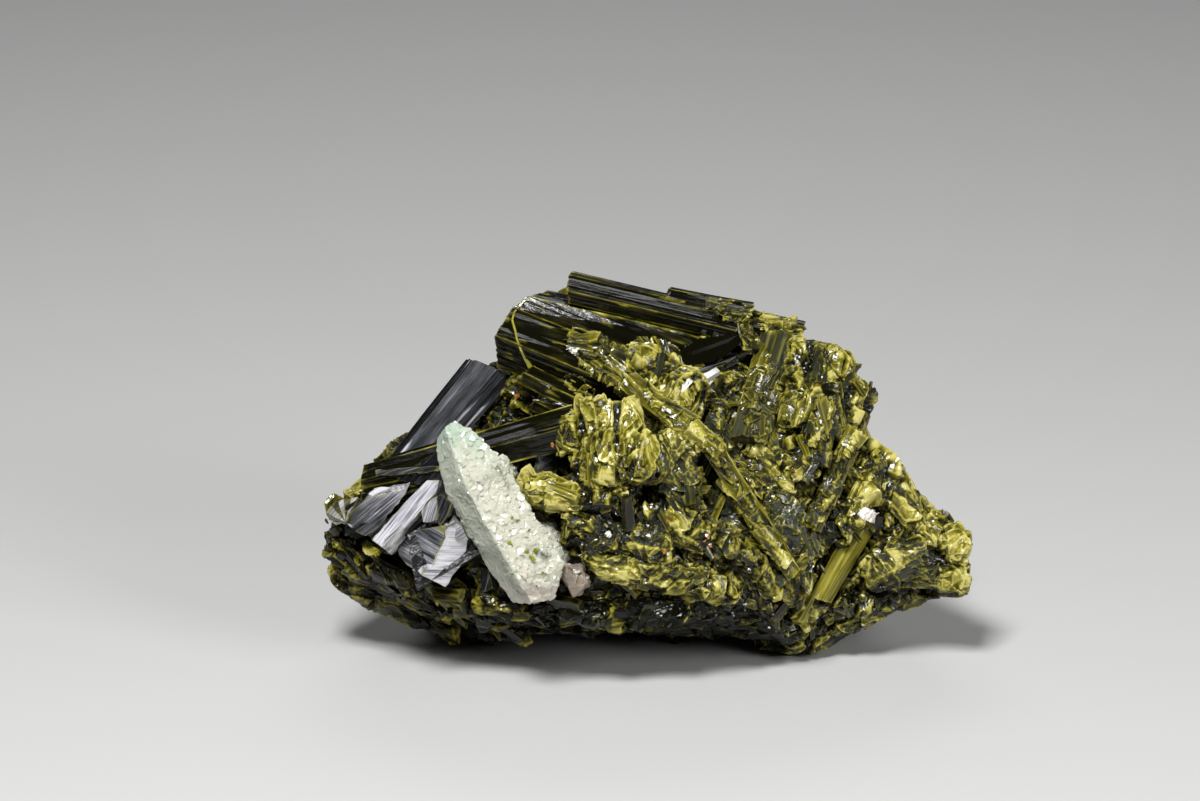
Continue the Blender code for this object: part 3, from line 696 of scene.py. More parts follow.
ZONES = (
    Zone(31.6, 17.8, 2.0, 1.6, 0, LEAFY, (-55, -50), 4.0, 1.0),
    Zone(27.4, 24.4, 2.4, 1.6, 0, GLASSY, (-30, 40), 2.4, 0.8),
    Zone(25.8, 31.8, 2.0, 2.2, 0, GLASSY, (60, -40), 2.4, 0.8),
    # This zone paints the shadow of the hollow at the upper right
    Zone(8.8, 36.6, 3.8, 2.0, 14, HOLLOW_SHADE, (14, 30), 2.6, 0.1),
    Zone(-4.0, 26.2, 4.8, 5.6, 0, BRIGHT, (82, 96, 70), 4.2, 0.8),
    Zone(-12.6, 19.6, 4.4, 2.4, -12, GLOW, (-10, -20, 10), 4.0, 0.8),
    Zone(-6.5, 12.0, 7.0, 2.6, -14, LEAFY, (-12, 20, -30), 2.6, 0.8),
    Zone(2.0, 9.6, 6.0, 2.0, -14, LEAFY, (-12, 20, -30), 3.0, 0.8),
    Zone(-4.0, 17.2, 5.5, 3.4, 0, DIM, (70, -60, 10), 5.0, 0.8),
    Zone(3.6, 21.0, 2.2, 6.0, 12, GLASSY, (-70, -60), 5.0, 0.6),
    Zone(8.6, 30.0, 4.0, 4.0, 0, GLASSY, CROSSING, 3.8, 1.0),
    Zone(9.0, 25.4, 3.4, 2.6, 0, BRIGHT, CROSSING, 3.0, 1.0),
    Zone(15.0, 22.0, 4.4, 3.4, 0, LEAFY, (-40, 30), 3.8, 1.0),
    Zone(16.5, 16.0, 3.4, 4.4, 0, GLASSY, CROSSING, 3.4, 0.8),
    Zone(19.0, 34.0, 6.5, 6.0, 0, OLIVE_MIX, (70, 60, -60), 3.8, 0.9),
    Zone(19.0, 26.0, 5.5, 3.6, 0, OLIVE_MIX, (64, 70, -50), 4.0, 1.0),
    Zone(17.4, 40.4, 4.0, 2.0, 0, BRIGHT, (-14, 20), 3.0, 0.8),
    Zone(29.6, 19.0, 4.0, 5.0, 0, LEAFY, (60, -60, 80), 4.0, 0.9),
    Zone(37.6, 12.0, 3.0, 5.0, 0, GLOW, (-60, 30), 3.0, 0.6),
    Zone(33.0, 11.6, 3.0, 2.4, 0, GLASSY, (20, -30), 3.0, 0.8),
    # These low zones are darkened: painted shade along the bottom of the mass
    Zone(25.0, 3.4, 10.0, 3.2, 26, DIM, (30, 50), 3.6, 0.8),
    Zone(-2.0, 4.2, 18.0, 3.6, -4, SHADOW, (-6, 8), 5.0, 0.5),
    Zone(-28.0, 6.0, 14.0, 6.4, -40, FLANK, (-34, -30, -38), 5.0, 0.2),
    Zone(-37.6, 16.6, 2.6, 3.4, 0, GLASSY, (-60, -20, 30), 3.0, 0.1),
    Zone(-5.0, 36.0, 6.0, 2.6, -32, LEAFY, (-30, 10, -60), 3.0, 1.0),
    Zone(-14.0, 30.6, 4.4, 2.4, -34, DIM, (-34, -20), 3.6, 0.8),
    Zone(-19.0, 30.6, 3.0, 3.0, 0, DIM, (-34, 30), 3.6, 0.8),
)
PLAIN_ZONE = Zone(0, 0, 0, 0, 0, OLIVE_MIX, CROSSING, 3.8, 1.0)
BACK_ZONE = Zone(0, 0, 0, 0, 0, REAR, (-60, 66, 80, -30), 6.5, 1.0)
# The underside takes DIM: painted shade under the mass
UNDER_ZONE = Zone(0, 0, 0, 0, 0, DIM, (-10, 10), 5.0, 0.6)
UPPER_ZONES = (
    Zone(-8.6, 26.8, 2.6, 4.4, -20, LEAFY, (60, 80, -30), 2.6, 0.8),
    Zone(-5.4, 36.4, 5.6, 2.6, -33, LEAFY, (-34, 5, -60), 3.0, 1.0),
    Zone(-1.0, 33.4, 4.0, 2.6, -33, BRIGHT, (-34, 20, -60), 2.6, 1.0),
    Zone(-8.5, 33.0, 2.4, 1.2, -33, LEAFY, (-34, 20), 2.2, 0.7),
    Zone(2.0, 37.0, 4.0, 1.6, -25, OLIVE_MIX, (-25, 20, -60), 3.0, 0.9),
    Zone(17.0, 40.0, 3.0, 2.4, 0, BRIGHT, (-14, 40), 2.4, 0.8),
    Zone(11.0, 42.2, 4.0, 1.4, -14, GLASSY, (-14, 60), 1.6, 0.7),
)
RIGHT_ZONES = (
    Zone(4.6, 29.4, 6.6, 2.4, -42, GLOW, (-42, -30, -55), 3.4, 0.6),
    Zone(13.0, 17.0, 9.0, 1.2, -57, LEAFY, (-57, -45), 3.4, 0.6),
    Zone(14.2, 31.8, 2.8, 8.0, 12, SLAB, (72, 60, -60), 3.0, 0.5),
    Zone(23.6, 21.6, 2.0, 6.6, -28, LEAFY, (62, 70), 3.2, 0.5),
    Zone(26.6, 15.4, 2.0, 2.0, 0, BRIGHT, (60, 72, -40), 2.4, 0.4),
)
ACROSS_SPAN = (-41.0, 42)
UP_SPAN = (-1.0, 48)
HIDDEN_FACING = 0.3
GRAZING = -0.35
UNDER_NORMAL = -0.3
BUNDLE_SIZE = 3.6 * MM
BUNDLE_SPREAD = 9
BUNDLE_TURNS = 3
LAID_LEAST = 0.2


def zone_finder(zones, otherwise=None):
    """A function that gives the first of these zones that holds a place of the front view."""

    def find(across, up):
        for zone in zones:
            turn = math.radians(zone.tilt)
            x, y = across - zone.across, up - zone.up
            along = (x * math.cos(turn) + y * math.sin(turn)) / zone.wide
            over = (y * math.cos(turn) - x * math.sin(turn)) / zone.high
            if along * along + over * over < 1:
                return zone
        return otherwise

    return find


zone_at = zone_finder(ZONES, PLAIN_ZONE)


def zone_direction(zone, normal, chance, point):
    """A direction in the surface, near one of the zone's angles: neighbours share theirs, as in a bundle."""
    bundle = noise.noise(point / BUNDLE_SIZE) * 0.5 + 0.5
    chosen = zone.angles[int(bundle * len(zone.angles) * BUNDLE_TURNS) % len(zone.angles)]
    along = laid_on(view_direction(chosen + chance.gauss(0, BUNDLE_SPREAD)), normal)
    if along.length < LAID_LEAST:
        along = normal.orthogonal()
    return along.normalized()


def steps(span, step):
    """Places from one end of a span to the other, a step apart."""
    place_now = span[0]
    while place_now < span[1]:
        yield place_now
        place_now += step


def front_spots(step, chance, name="tourmaline_mass", find_zone=zone_at):
    """(point, normal, zone) on a node, about one for each step of the front view, in millimetres."""
    for across in steps(ACROSS_SPAN, step):
        for up in steps(UP_SPAN, step):
            place_at = across + chance.uniform(0, step), up + chance.uniform(0, step)
            met = SURFACE.seen_at(*place_at)
            if met and met[2] == name:
                zone = find_zone(*place_at)
                if zone:
                    yield met[0], met[1], zone


def hidden_spots(count, chance):
    """(point, normal, zone) on the sides, back, top and underside of the mass."""
    mesh = NODES["tourmaline_mass"].data
    mesh.calc_loop_triangles()
    triangles = [t for t in mesh.loop_triangles if t.normal.dot(FACING) < HIDDEN_FACING]
    for triangle in chance.choices(triangles, [t.area for t in triangles], k=count):
        corner, second, third = [mesh.vertices[i].co for i in triangle.vertices]
        share, other = chance.random(), chance.random()
        if share + other > 1:
            share, other = 1 - share, 1 - other
        point = corner + (second - corner) * share + (third - corner) * other
        zone = UNDER_ZONE if triangle.normal.z < UNDER_NORMAL else BACK_ZONE
        shown_zone = zone_at(*seen(point))
        if triangle.normal.dot(FACING) > GRAZING and shown_zone is not PLAIN_ZONE:
            zone = shown_zone
        yield point, triangle.normal.copy(), zone


# Plates and shards, which are pressed out of a fine skin

# The columns of a row: where it is and its three axes, then what a plate and a shard have
SPOT, ALONG, OVER, OUT = slice(0, 3), slice(3, 6), slice(6, 9), slice(9, 12)
LONG, WIDE, LIFT, RISE, LEAN, CROWN = range(12, 18)
SHARD_RISE, SHARD_LEAN, SHARD_LEVEL = range(12, 15)

NEAR_PLATES = 16
PLATE_LONG = (0.5, 1.4)
PLATE_WIDE = (0.13, 0.42)
PLATE_SLOPES = (0.14, 0.3, 0.35)
PLATE_FADE = 0.12
HAND_LIFT = 0.6 * MM
HAND_SLOPES = (0.0, 0.05, 0.08)
HAND_FADE = 0.06
PLATE_TOOTH = 0.31 * MM
TOOTH_REACH = 0.3 * MM
PLATE_FACING = 0.35
CLIFF = 3.0
FLATTEN = 0.3
FLAT_REACH = 1.1 * MM
NEAR_SHARDS = 10
SHARD_TILT = 0.3
SHARD_LIFT = 0.07 * MM
SHARD_STRETCH = 3.4
SHARD_FLAT = 0.6
SHARD_MOST = 0.24 * MM
SHARD_SHADE = 0.12
SHARD_TONE = 0.09
GLASSY_SHARE = 0.12


def measured(points, row):
    """Each point from its row's spot: the gap, then how far along, over and out."""
    gap = points - row[:, SPOT]
    return [gap] + [(gap * row[:, axis]).sum(1) for axis in (ALONG, OVER, OUT)]


class Spots:
    """Rows of places with their axes and sizes, and the looks of what stands there."""

    def __init__(self):
        self.rows, self.looks = [], []

    def fill(self, spots, *values):
        for point, normal, zone in spots:
            self.add(point, normal, zone, *values)

    def nearest(self, points, number):
        """The rows, the looks, and for each point the numbers of its nearest rows."""
        rows, looks = np.array(self.rows), np.array(self.looks)
        tree = tree_of(rows[:, SPOT])
        near = np.array([[hit[1] for hit in tree.find_n(point, number)] for point in points])
        return rows, looks, near


class Plates(Spots):
    """Flat tilted plates with steep ragged sides, each laid along a crystal's direction."""

    def add(self, point, normal, zone, scale, lift, chance):
        along = zone_direction(zone, normal, chance, point)
        long = zone.length * scale * chance.uniform(*PLATE_LONG) / 2
        wide = long * chance.uniform(*PLATE_WIDE)
        tone, spread, grey = chance.choice(PALETTES[zone.palette])
        height = zone.lift * chance.uniform(*lift) * MM
        rise, lean, crown = (chance.gauss(0, slope) for slope in PLATE_SLOPES)
        sizes = (long * MM, wide * MM, height, rise, lean, abs(crown))
        self.rows.append((*point, *along, *normal.cross(along), *normal, *sizes))
        fade = chance.gauss(0, PLATE_FADE)
        self.looks.append((tone + chance.gauss(0, spread), grey * chance.uniform(0.3, 1.0), fade))

    def put(self, corner, long, wide, angle, lift, tone, grey):
        """One given plate: its place and sizes in pixels, its lift in millimetres."""
        point, surface_normal, _ = SURFACE.seen_at(*px(corner)[0])
        normal = (surface_normal + FACING).normalized()
        along = laid_on(view_direction(angle), normal).normalized()
        halves = (long / PHOTO_SCALE * MM / 2, wide / PHOTO_SCALE * MM / 2)
        rest = (lift * HAND_LIFT, *HAND_SLOPES)
        self.rows.append((*point, *along, *normal.cross(along), *normal, *halves, *rest))
        self.looks.append((tone, grey, HAND_FADE))

    def press(self, points, normals, base):
        """For each point: height of the highest plate there, its tone and grey, and its grain."""
        rows, looks, near = self.nearest(points, NEAR_PLATES)
        height = np.full(len(points), base)
        owner = near[:, 0].copy()
        for number in near.T:
            row = rows[number]
            _, along, over, away = measured(points, row)
            facing = (normals * row[:, OUT]).sum(1)
            teeth = np.sin(over / PLATE_TOOTH + number) * TOOTH_REACH
            past = np.maximum(np.abs(along) + teeth - row[:, LONG], np.abs(over) - row[:, WIDE])
            level = row[:, LIFT] + row[:, RISE] * along + row[:, LEAN] * over
            level = level + row[:, CROWN] * (row[:, WIDE] * 0.5 - np.abs(over))
            level = level - FLATTEN * away - CLIFF * np.maximum(0, past)
            level = level - np.maximum(0, np.abs(away) - FLAT_REACH) * 3
            level = np.where(facing < PLATE_FACING, -1, level)
            better = level > height
            height = np.where(better, level, height)
            owner = np.where(better, number, owner)
        row = rows[owner]
        _, along, over, away = measured(points, row)
        grain = np.stack([over, away, along], axis=1) / MM + (owner * 7.31 % 97)[:, None]
        pocket = height <= base
        tone = looks[owner, 0] + looks[owner, 2] * np.clip(along / row[:, LONG], -1.5, 1.5)
        # Pockets painted darker and raised plates painted lighter: painted shade and light
        tone = np.where(pocket, 0.3 * tone, tone + np.clip(height / MM, -0.6, 1) * 0.16)
        return height, tone, np.where(pocket, 0.0, looks[owner, 1]), grain


class Shards(Spots):
    """Small flat faces, each a cell round its own spot, longer along its crystal than across."""

    def add(self, point, normal, zone, chance):
        along = zone_direction(zone, normal, chance, point)
        rise = SHARD_TILT * min(1, 0.4 + zone.lift)
        slopes = (chance.gauss(0, rise * 0.4), chance.gauss(0, rise))
        level = chance.uniform(-1, 1) * SHARD_LIFT
        self.rows.append((*point, *along, *normal.cross(along), *normal, *slopes, level))
        glassy = chance.uniform(0.3, 0.9) if chance.random() < GLASSY_SHARE else 0.0
        self.looks.append((chance.gauss(0, SHARD_TONE), glassy))

    def press(self, points):
        """For each point: the height, tone and grey that its shard adds."""
        rows, looks, near = self.nearest(points, NEAR_SHARDS)
        least = np.full(len(points), np.inf)
        height = np.zeros(len(points))
        owner = near[:, 0].copy()
        for number in near.T:
            row = rows[number]
            _, along, over, away = measured(points, row)
            reach = (along / SHARD_STRETCH) ** 2 + over**2 + away**2
            better = reach < least
            least = np.where(better, reach, least)
            level = row[:, SHARD_RISE] * along + row[:, SHARD_LEAN] * over
            level = level + row[:, SHARD_LEVEL] - SHARD_FLAT * away
            height = np.where(better, level, height)
            owner = np.where(better, number, owner)
        height = np.clip(height, -SHARD_MOST, SHARD_MOST)
        # Raised shards painted lighter and sunken ones darker: painted light and shade
        return height, looks[owner, 0] + height / SHARD_MOST * SHARD_SHADE, looks[owner, 1]


# The fine skin, and what is worked out over it

EDGE_BEND = 0.02 * MM
CRUST_SHARP = math.radians(22)
UNDERSIDE = -0.2


def fine_skin(name, voxel, least_facing=0.05, wanted=None, fill=0.0):
    """A node as one even mesh, finer where the front view sees it.

    wanted keeps only some of its faces; fill closes the gaps that are narrower than twice its length.
    """
    modifiers = [even_voxels(voxel)]
    if fill:
        grow = ("DISPLACE", {"strength": fill, "mid_level": 0})
        shrink = ("DISPLACE", {"strength": -fill, "mid_level": 0})
        modifiers += [grow, even_voxels(voxel), ("SMOOTH", {"iterations": 3}), shrink]
    mesh = mesh_from(copy_of(name), modifiers)
    bm = bmesh.new()
    bm.from_mesh(mesh)
    bpy.data.meshes.remove(mesh)
    if wanted:
        unwanted = [face for face in bm.faces if not wanted(face.calc_center_median())]
        bmesh.ops.delete(bm, geom=unwanted, context="FACES")
    subdivide(bm, [face for face in bm.faces if face.normal.dot(FACING) > least_facing], 2)
    if fill:
        bm.normal_update()
        coarse = [face for face in bm.faces if face.calc_area() > voxel**2 * 0.4]
        subdivide(bm, [face for face in coarse if face.normal.z > UNDERSIDE], 1)
    bmesh.ops.triangulate(bm, faces=bm.faces)
    bm.verts.index_update()
    points = corner_array(bm)
    normals = np.array([vertex.normal for vertex in bm.verts])
    faces = triangle_array(bm)
    bm.free()
    return points, normals, faces


def subdivide(bm, faces, cuts):
    edges = list({edge for face in faces for edge in face.edges})
    bmesh.ops.subdivide_edges(bm, edges=edges, cuts=cuts, use_grid_fill=True)


def bend(points, faces):
    """How far each point stands above its neighbours, from -1 in a groove to 1 on a sharp ridge."""
    first, second, third = (points[faces[:, i]] for i in range(3))
    normals = np.cross(second - first, third - first)
    total = np.zeros_like(points)
    mean = np.zeros_like(points)
    count = np.zeros(len(points))
    for i in range(3):
        np.add.at(total, faces[:, i], normals)
        for j in range(3):
            if i != j:
                np.add.at(mean, faces[:, i], points[faces[:, j]])
                np.add.at(count, faces[:, i], 1)
    total /= np.maximum(np.linalg.norm(total, axis=1), 1e-12)[:, None]
    mean /= np.maximum(count, 1)[:, None]
    return np.clip(((points - mean) * total).sum(1) / EDGE_BEND, -1, 1)


def spread_out(values, faces, times):
    """Values smoothed over the mesh, by taking the mean over each point's neighbours."""
    heads = np.concatenate([faces, faces]).ravel()
    tails = np.concatenate([faces[:, [1, 2, 0]], faces[:, [2, 0, 1]]]).ravel()
    number = len(values)
    count = np.maximum(np.bincount(heads, minlength=number), 1)
    for _ in range(times):
        values = (values + np.bincount(heads, weights=values[tails], minlength=number) / count) / 2
    return values


def folded(points, fine_reach):
    """Points moved by a broad and a fine noise, so that the borders of the plates are uneven."""
    return warped(warped(points, 3 * MM, 0.4 * MM), 0.9 * MM, fine_reach)


def skin_piece(name, points, faces, rim, tone, grey, grain):
    """A piece made of some faces of a skin, with only the points that they use."""
    used, renumbered = np.unique(faces, return_inverse=True)
    heap = Heap()
    heap.add(points[used], renumbered.reshape(-1, 3), rim[used], tone[used], grey[used], grain[used])
    return heap.make(name, GREEN, CRUST_SHARP)


# The crust of the mass

CLEAR_NODES = (
    "quartz_crystal",
    "smoky_quartz_grain",
    "white_quartz_grain",
    "left_cleavage_fan",
    "left_blade",
    "lower_prism",
)
CLEAR_TREE = Surface(CLEAR_NODES).tree
CLEAR_WIDTH = 0.7 * MM
CLEAR_REACH = 3 * MM
TIP_CENTRE = (-38.0, 16.6)
TIP_REACH = 2.7
TIP_SIDE = -33 * MM
SKIN_VOXEL = 0.55 * MM
GAP_FILL = 0.8 * MM
POCKET_DEPTH = -0.45 * MM
REST_START = 0.3 * MM
REST_REACH = 1.2 * MM
BOX_REACH = 1.6 * MM
STRIP_TRIANGLES = 150000

# How plates are sown: the step or the count, the scale, and the range of their lift
FRONT_PLATES = ((2.4, 2.2, (-0.3, 0.6)), (1.6, 1.2, (-0.3, 0.55)))
HIDDEN_PLATES = ((700, 3.4, (-0.2, 0.8)), (1300, 1.7, (-0.3, 0.6)))
SHARD_STEP = 1.0
HIDDEN_SHARDS = 6500

# Larger plates seen in the photograph: the pixel, long, wide, angle, lift, tone and grey
HAND_PLATES = (
    ((668, 450), 36, 27, 60, 1.6, 0.28, 0.6),
    ((669, 482), 27, 17, -60, 1.5, 0.2, 0.7),
    ((787, 510), 34, 24, -50, 1.1, 0.08, 1.0),
    ((805, 543), 32, 24, -50, 1.1, 0.08, 1.0),
    ((776, 577), 20, 17, 30, 1.3, 0.08, 1.0),
    ((826, 601), 20, 16, 30, 1.2, 0.1, 0.9),
    ((903, 565), 42, 26, 15, 1.1, 0.12, 1.0),
    ((609, 535), 30, 20, -40, 0.7, -0.1, 0.4),
    ((650, 535), 38, 22, 70, 0.8, -0.08, 0.5),
    ((720, 500), 30, 20, 60, 0.8, -0.02, 0.7),
    ((592, 476), 36, 17, -20, 1.3, 0.36, 0.0),
    ((558, 488), 42, 15, -15, 1.0, 0.36, 0.0),
    ((625, 428), 52, 15, 80, 1.5, 0.32, 0.0),
    ((600, 440), 48, 13, 100, 1.1, 0.28, 0.0),
    ((645, 455), 40, 15, 75, 1.4, 0.34, 0.0),
    ((898, 506), 38, 15, -50, 1.3, 0.3, 0.0),
    ((862, 490), 28, 17, 60, 1.0, 0.34, 0.0),
    ((573, 560), 32, 17, -20, 1.2, 0.34, 0.0),
    ((612, 572), 32, 15, -10, 1.2, 0.36, 0.0),
    ((642, 562), 26, 13, 30, 1.0, 0.32, 0.0),
    ((702, 586), 52, 15, 15, 1.2, 0.26, 0.0),
    ((742, 574), 42, 15, -20, 1.0, 0.26, 0.0),
    ((798, 370), 40, 26, 10, 1.0, 0.14, 0.0),
    ((836, 365), 30, 18, -30, 0.9, 0.24, 0.0),
    ((800, 402), 34, 22, 20, 0.9, 0.22, 0.0),
    ((955, 540), 30, 18, -70, 0.9, 0.46, 0.0),
    ((952, 580), 26, 18, 20, 0.9, 0.42, 0.0),
    ((738, 440), 34, 16, 40, 1.2, 0.3, 0.0),
    ((760, 455), 36, 16, -30, 1.2, 0.26, 0.2),
    ((355, 534), 30, 7, -30, 1.1, 0.4, 0.0),
    ((380, 550), 34, 7, -30, 1.1, 0.38, 0.0),
    ((406, 568), 32, 7, -42, 1.1, 0.4, 0.0),
    ((430, 589), 30, 7, -40, 1.1, 0.36, 0.0),
    ((453, 604), 30, 7, -30, 1.1, 0.38, 0.0),
    ((478, 625), 34, 7, -55, 1.1, 0.34, 0.0),
)


def room_at(point):
    """How near a point is to the crystals and the left tip, which the crust leaves in view."""
    if point.x < TIP_SIDE and point.y < 0:
        across, up = seen(point)
        if math.hypot(across - TIP_CENTRE[0], up - TIP_CENTRE[1]) < TIP_REACH:
            return 0.0
    found = CLEAR_TREE.find_nearest(point, CLEAR_REACH)
    return CLEAR_REACH if found[0] is None else found[3]


def sown():
    """The plates and shards all over the mass, and the listed plates."""
    chance = random.Random(SEED)
    plates, shards, chosen = Plates(), Shards(), Plates()
    for step, scale, lift in FRONT_PLATES:
        plates.fill(front_spots(step, chance), scale, lift, chance)
    shards.fill(front_spots(SHARD_STEP, chance), chance)
    for count, scale, lift in HIDDEN_PLATES:
        plates.fill(hidden_spots(count, chance), scale, lift, chance)
    shards.fill(hidden_spots(HIDDEN_SHARDS, chance), chance)
    for plate in HAND_PLATES:
        chosen.put(*plate)
    return plates, shards, chosen


def held(points, normals, height):
    """The height, less where the skin is near its flats, the CAD box or a crystal that stays in view."""
    room = np.array([room_at(Vector(point)) for point in points])
    height = np.minimum(height, np.maximum(POCKET_DEPTH, room - CLEAR_WIDTH))
    settled = np.clip((points[:, 2] - REST_START) / REST_REACH, 0, 1)
    steep = np.abs(normals) > 0.1
    wall = np.where(normals > 0, CAD_BOX[1], CAD_BOX[0]) - points
    free = np.where(steep, wall / np.where(steep, normals, np.inf), 1.0).min(1)
    return height * np.where(height > 0, settled * np.clip(free / BOX_REACH, 0, 1), settled)


def crust():
    """The skin of the mass, pressed: its points, faces, rim, tone, grey and grain."""
    plates, shards, chosen = sown()
    points, normals, faces = fine_skin("tourmaline_mass", SKIN_VOXEL, fill=GAP_FILL)
    probe = folded(points, 0.12 * MM)
    height, tone, grey, grain = plates.press(probe, normals, POCKET_DEPTH)
    relief, fine_tone, fine_grey = shards.press(probe)
    tone = tone + fine_tone
    grey = np.maximum(grey, fine_grey)
    hand = chosen.press(probe, normals, POCKET_DEPTH)
    over = hand[0] > height
    height, tone, grey = (np.where(over, new, old) for new, old in zip(hand[:3], (height, tone, grey)))
    grain = np.where(over[:, None], hand[3], grain)
    points = points + normals * held(points, normals, height + relief)[:, None]
    points = np.clip(points, CAD_BOX[0], CAD_BOX[1])
    curve = bend(points, faces)
    broad = noise_at(points, 5 * MM) + 0.6 * noise_at(points, 1.8 * MM)
    tone = spread_out(tone, faces, 2) + broad * 0.3
    # Ridges painted lighter and grooves darker, most where the tone is light: painted light and shade; sharp
    # ridges also get the rim glow
    lit = np.clip(0.6 + 2 * tone, 0.25, 1)
    tone = tone + (spread_out(curve, faces, 3) * 0.25 + spread_out(curve, faces, 14) * 0.34) * lit - 0.02
    return points, faces, np.clip(curve, 0, 1), tone, grey, grain


def in_shade(polygon):
    """Whether a face of the crust belongs to the dark flank, the low band or the underside, which get
    painted shade.
    """
    if polygon.normal.z < UNDERSIDE:
        return True
    zone = zone_at(*seen(polygon.center))
    return polygon.normal.dot(FACING) > GRAZING and zone.palette in (SHADOW, FLANK)


def split_skin(points, faces, *looks):
    """Makes the crust as strips across, each under the limit of triangles for one piece."""
    order = np.argsort(points[faces].mean(1)[:, 0])
    strips = np.array_split(order, math.ceil(len(faces) / STRIP_TRIANGLES))
    for number, strip in enumerate(strips):
        obj = skin_piece(f"mass_crust_{number}", points, faces[strip], *looks)
        # Faces in shade take the duller copy: painted shade
        obj.data.materials.append(SHADED_GREEN)
        for polygon in obj.data.polygons:
            polygon.material_index = int(in_shade(polygon))
        if number == 0:
            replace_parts(obj, "tourmaline_mass")


split_skin(*crust())


# Crusts that grow on the prisms

CRUST_VOXEL = 0.3 * MM
BURIED = -0.35 * MM
CRUST_PLATES = ((1.7, 1.4, (0.0, 0.9)), (1.1, 0.8, (-0.1, 0.7)), (0.7, 0.5, (-0.2, 0.4)))


def crusted(name, zones):
    """Broken crystals on a dressed node: a second skin that lies just under it, except at its plates."""
    chance = random.Random(name + "crust")
    find = zone_finder(zones)
    plates = Plates()
    for step, scale, lift in CRUST_PLATES:
        plates.fill(front_spots(step, chance, name, find), scale, lift, chance)
    points, normals, faces = fine_skin(name, CRUST_VOXEL, 0.0, lambda spot: find(*seen(spot)) is not None)
    height, tone, grey, grain = plates.press(folded(points, 0.16 * MM), normals, BURIED)
    points = np.clip(points + normals * height[:, None], CAD_BOX[0], CAD_BOX[1])
    faces = faces[(height > BURIED * 0.98)[faces].any(1)]
    curve = bend(points, faces)
    # Ridges painted lighter and grooves darker: painted light and shade; sharp ridges get the rim glow
    tone = spread_out(tone, faces, 2) + spread_out(curve, faces, 6) * 0.35
    skin_piece(name + "_crust", points, faces, np.clip(curve, 0, 1), tone, grey, grain)


for crusted_name in ("upper_prisms", "ridge_prisms", "left_prisms"):
    crusted(crusted_name, UPPER_ZONES)
for crusted_name in ("diagonal_prisms", "right_slab", "upright_prism"):
    crusted(crusted_name, RIGHT_ZONES)


# Panels: crystals with one flat face that the front view looks at

PANEL_EDGE = 0.3 * MM
PANEL_CHIP = 0.7
PANEL_FACING = 0.35
PANEL_BACK = 0.2 * MM
PANEL_BAND = 1.2 * MM
EDGE_PARTS = 8
PANEL_LANE = (0.5, 8)


def facing_plane(outline):
    """(centre, normal) of the plane through what the front view meets at the corners of an outline."""
    met = [SURFACE.seen_at(*corner) for corner in outline]
    spots = np.array([hit[0] for hit in met if hit])
    centre = spots.mean(0)
    normal = Vector(np.linalg.svd(spots - centre)[2][2])
    if normal.dot(FACING) < 0:
        normal.negate()
    return Vector(centre), normal


def on_plane(across, up, centre, normal):
    way = sight(across, up)
    return EYE + way * ((centre - EYE).dot(normal) / way.dot(normal))


def ragged(outline, chance, amount):
    """The outline with a few small steps and chips along its sides."""
    made = []
    for (x0, y0), (x1, y1) in zip(outline, outline[1:] + outline[:1]):
        made.append((x0, y0))
        number = int(math.hypot(x1 - x0, y1 - y0) / PANEL_CHIP)
        for i in range(1, number):
            share = (i + chance.uniform(-0.3, 0.3)) / number
            push = chance.gauss(0, amount)
            side = Vector((y0 - y1, x1 - x0)).normalized() * push
            made.append((x0 + (x1 - x0) * share + side.x, y0 + (y1 - y0) * share + side.y))
    return made


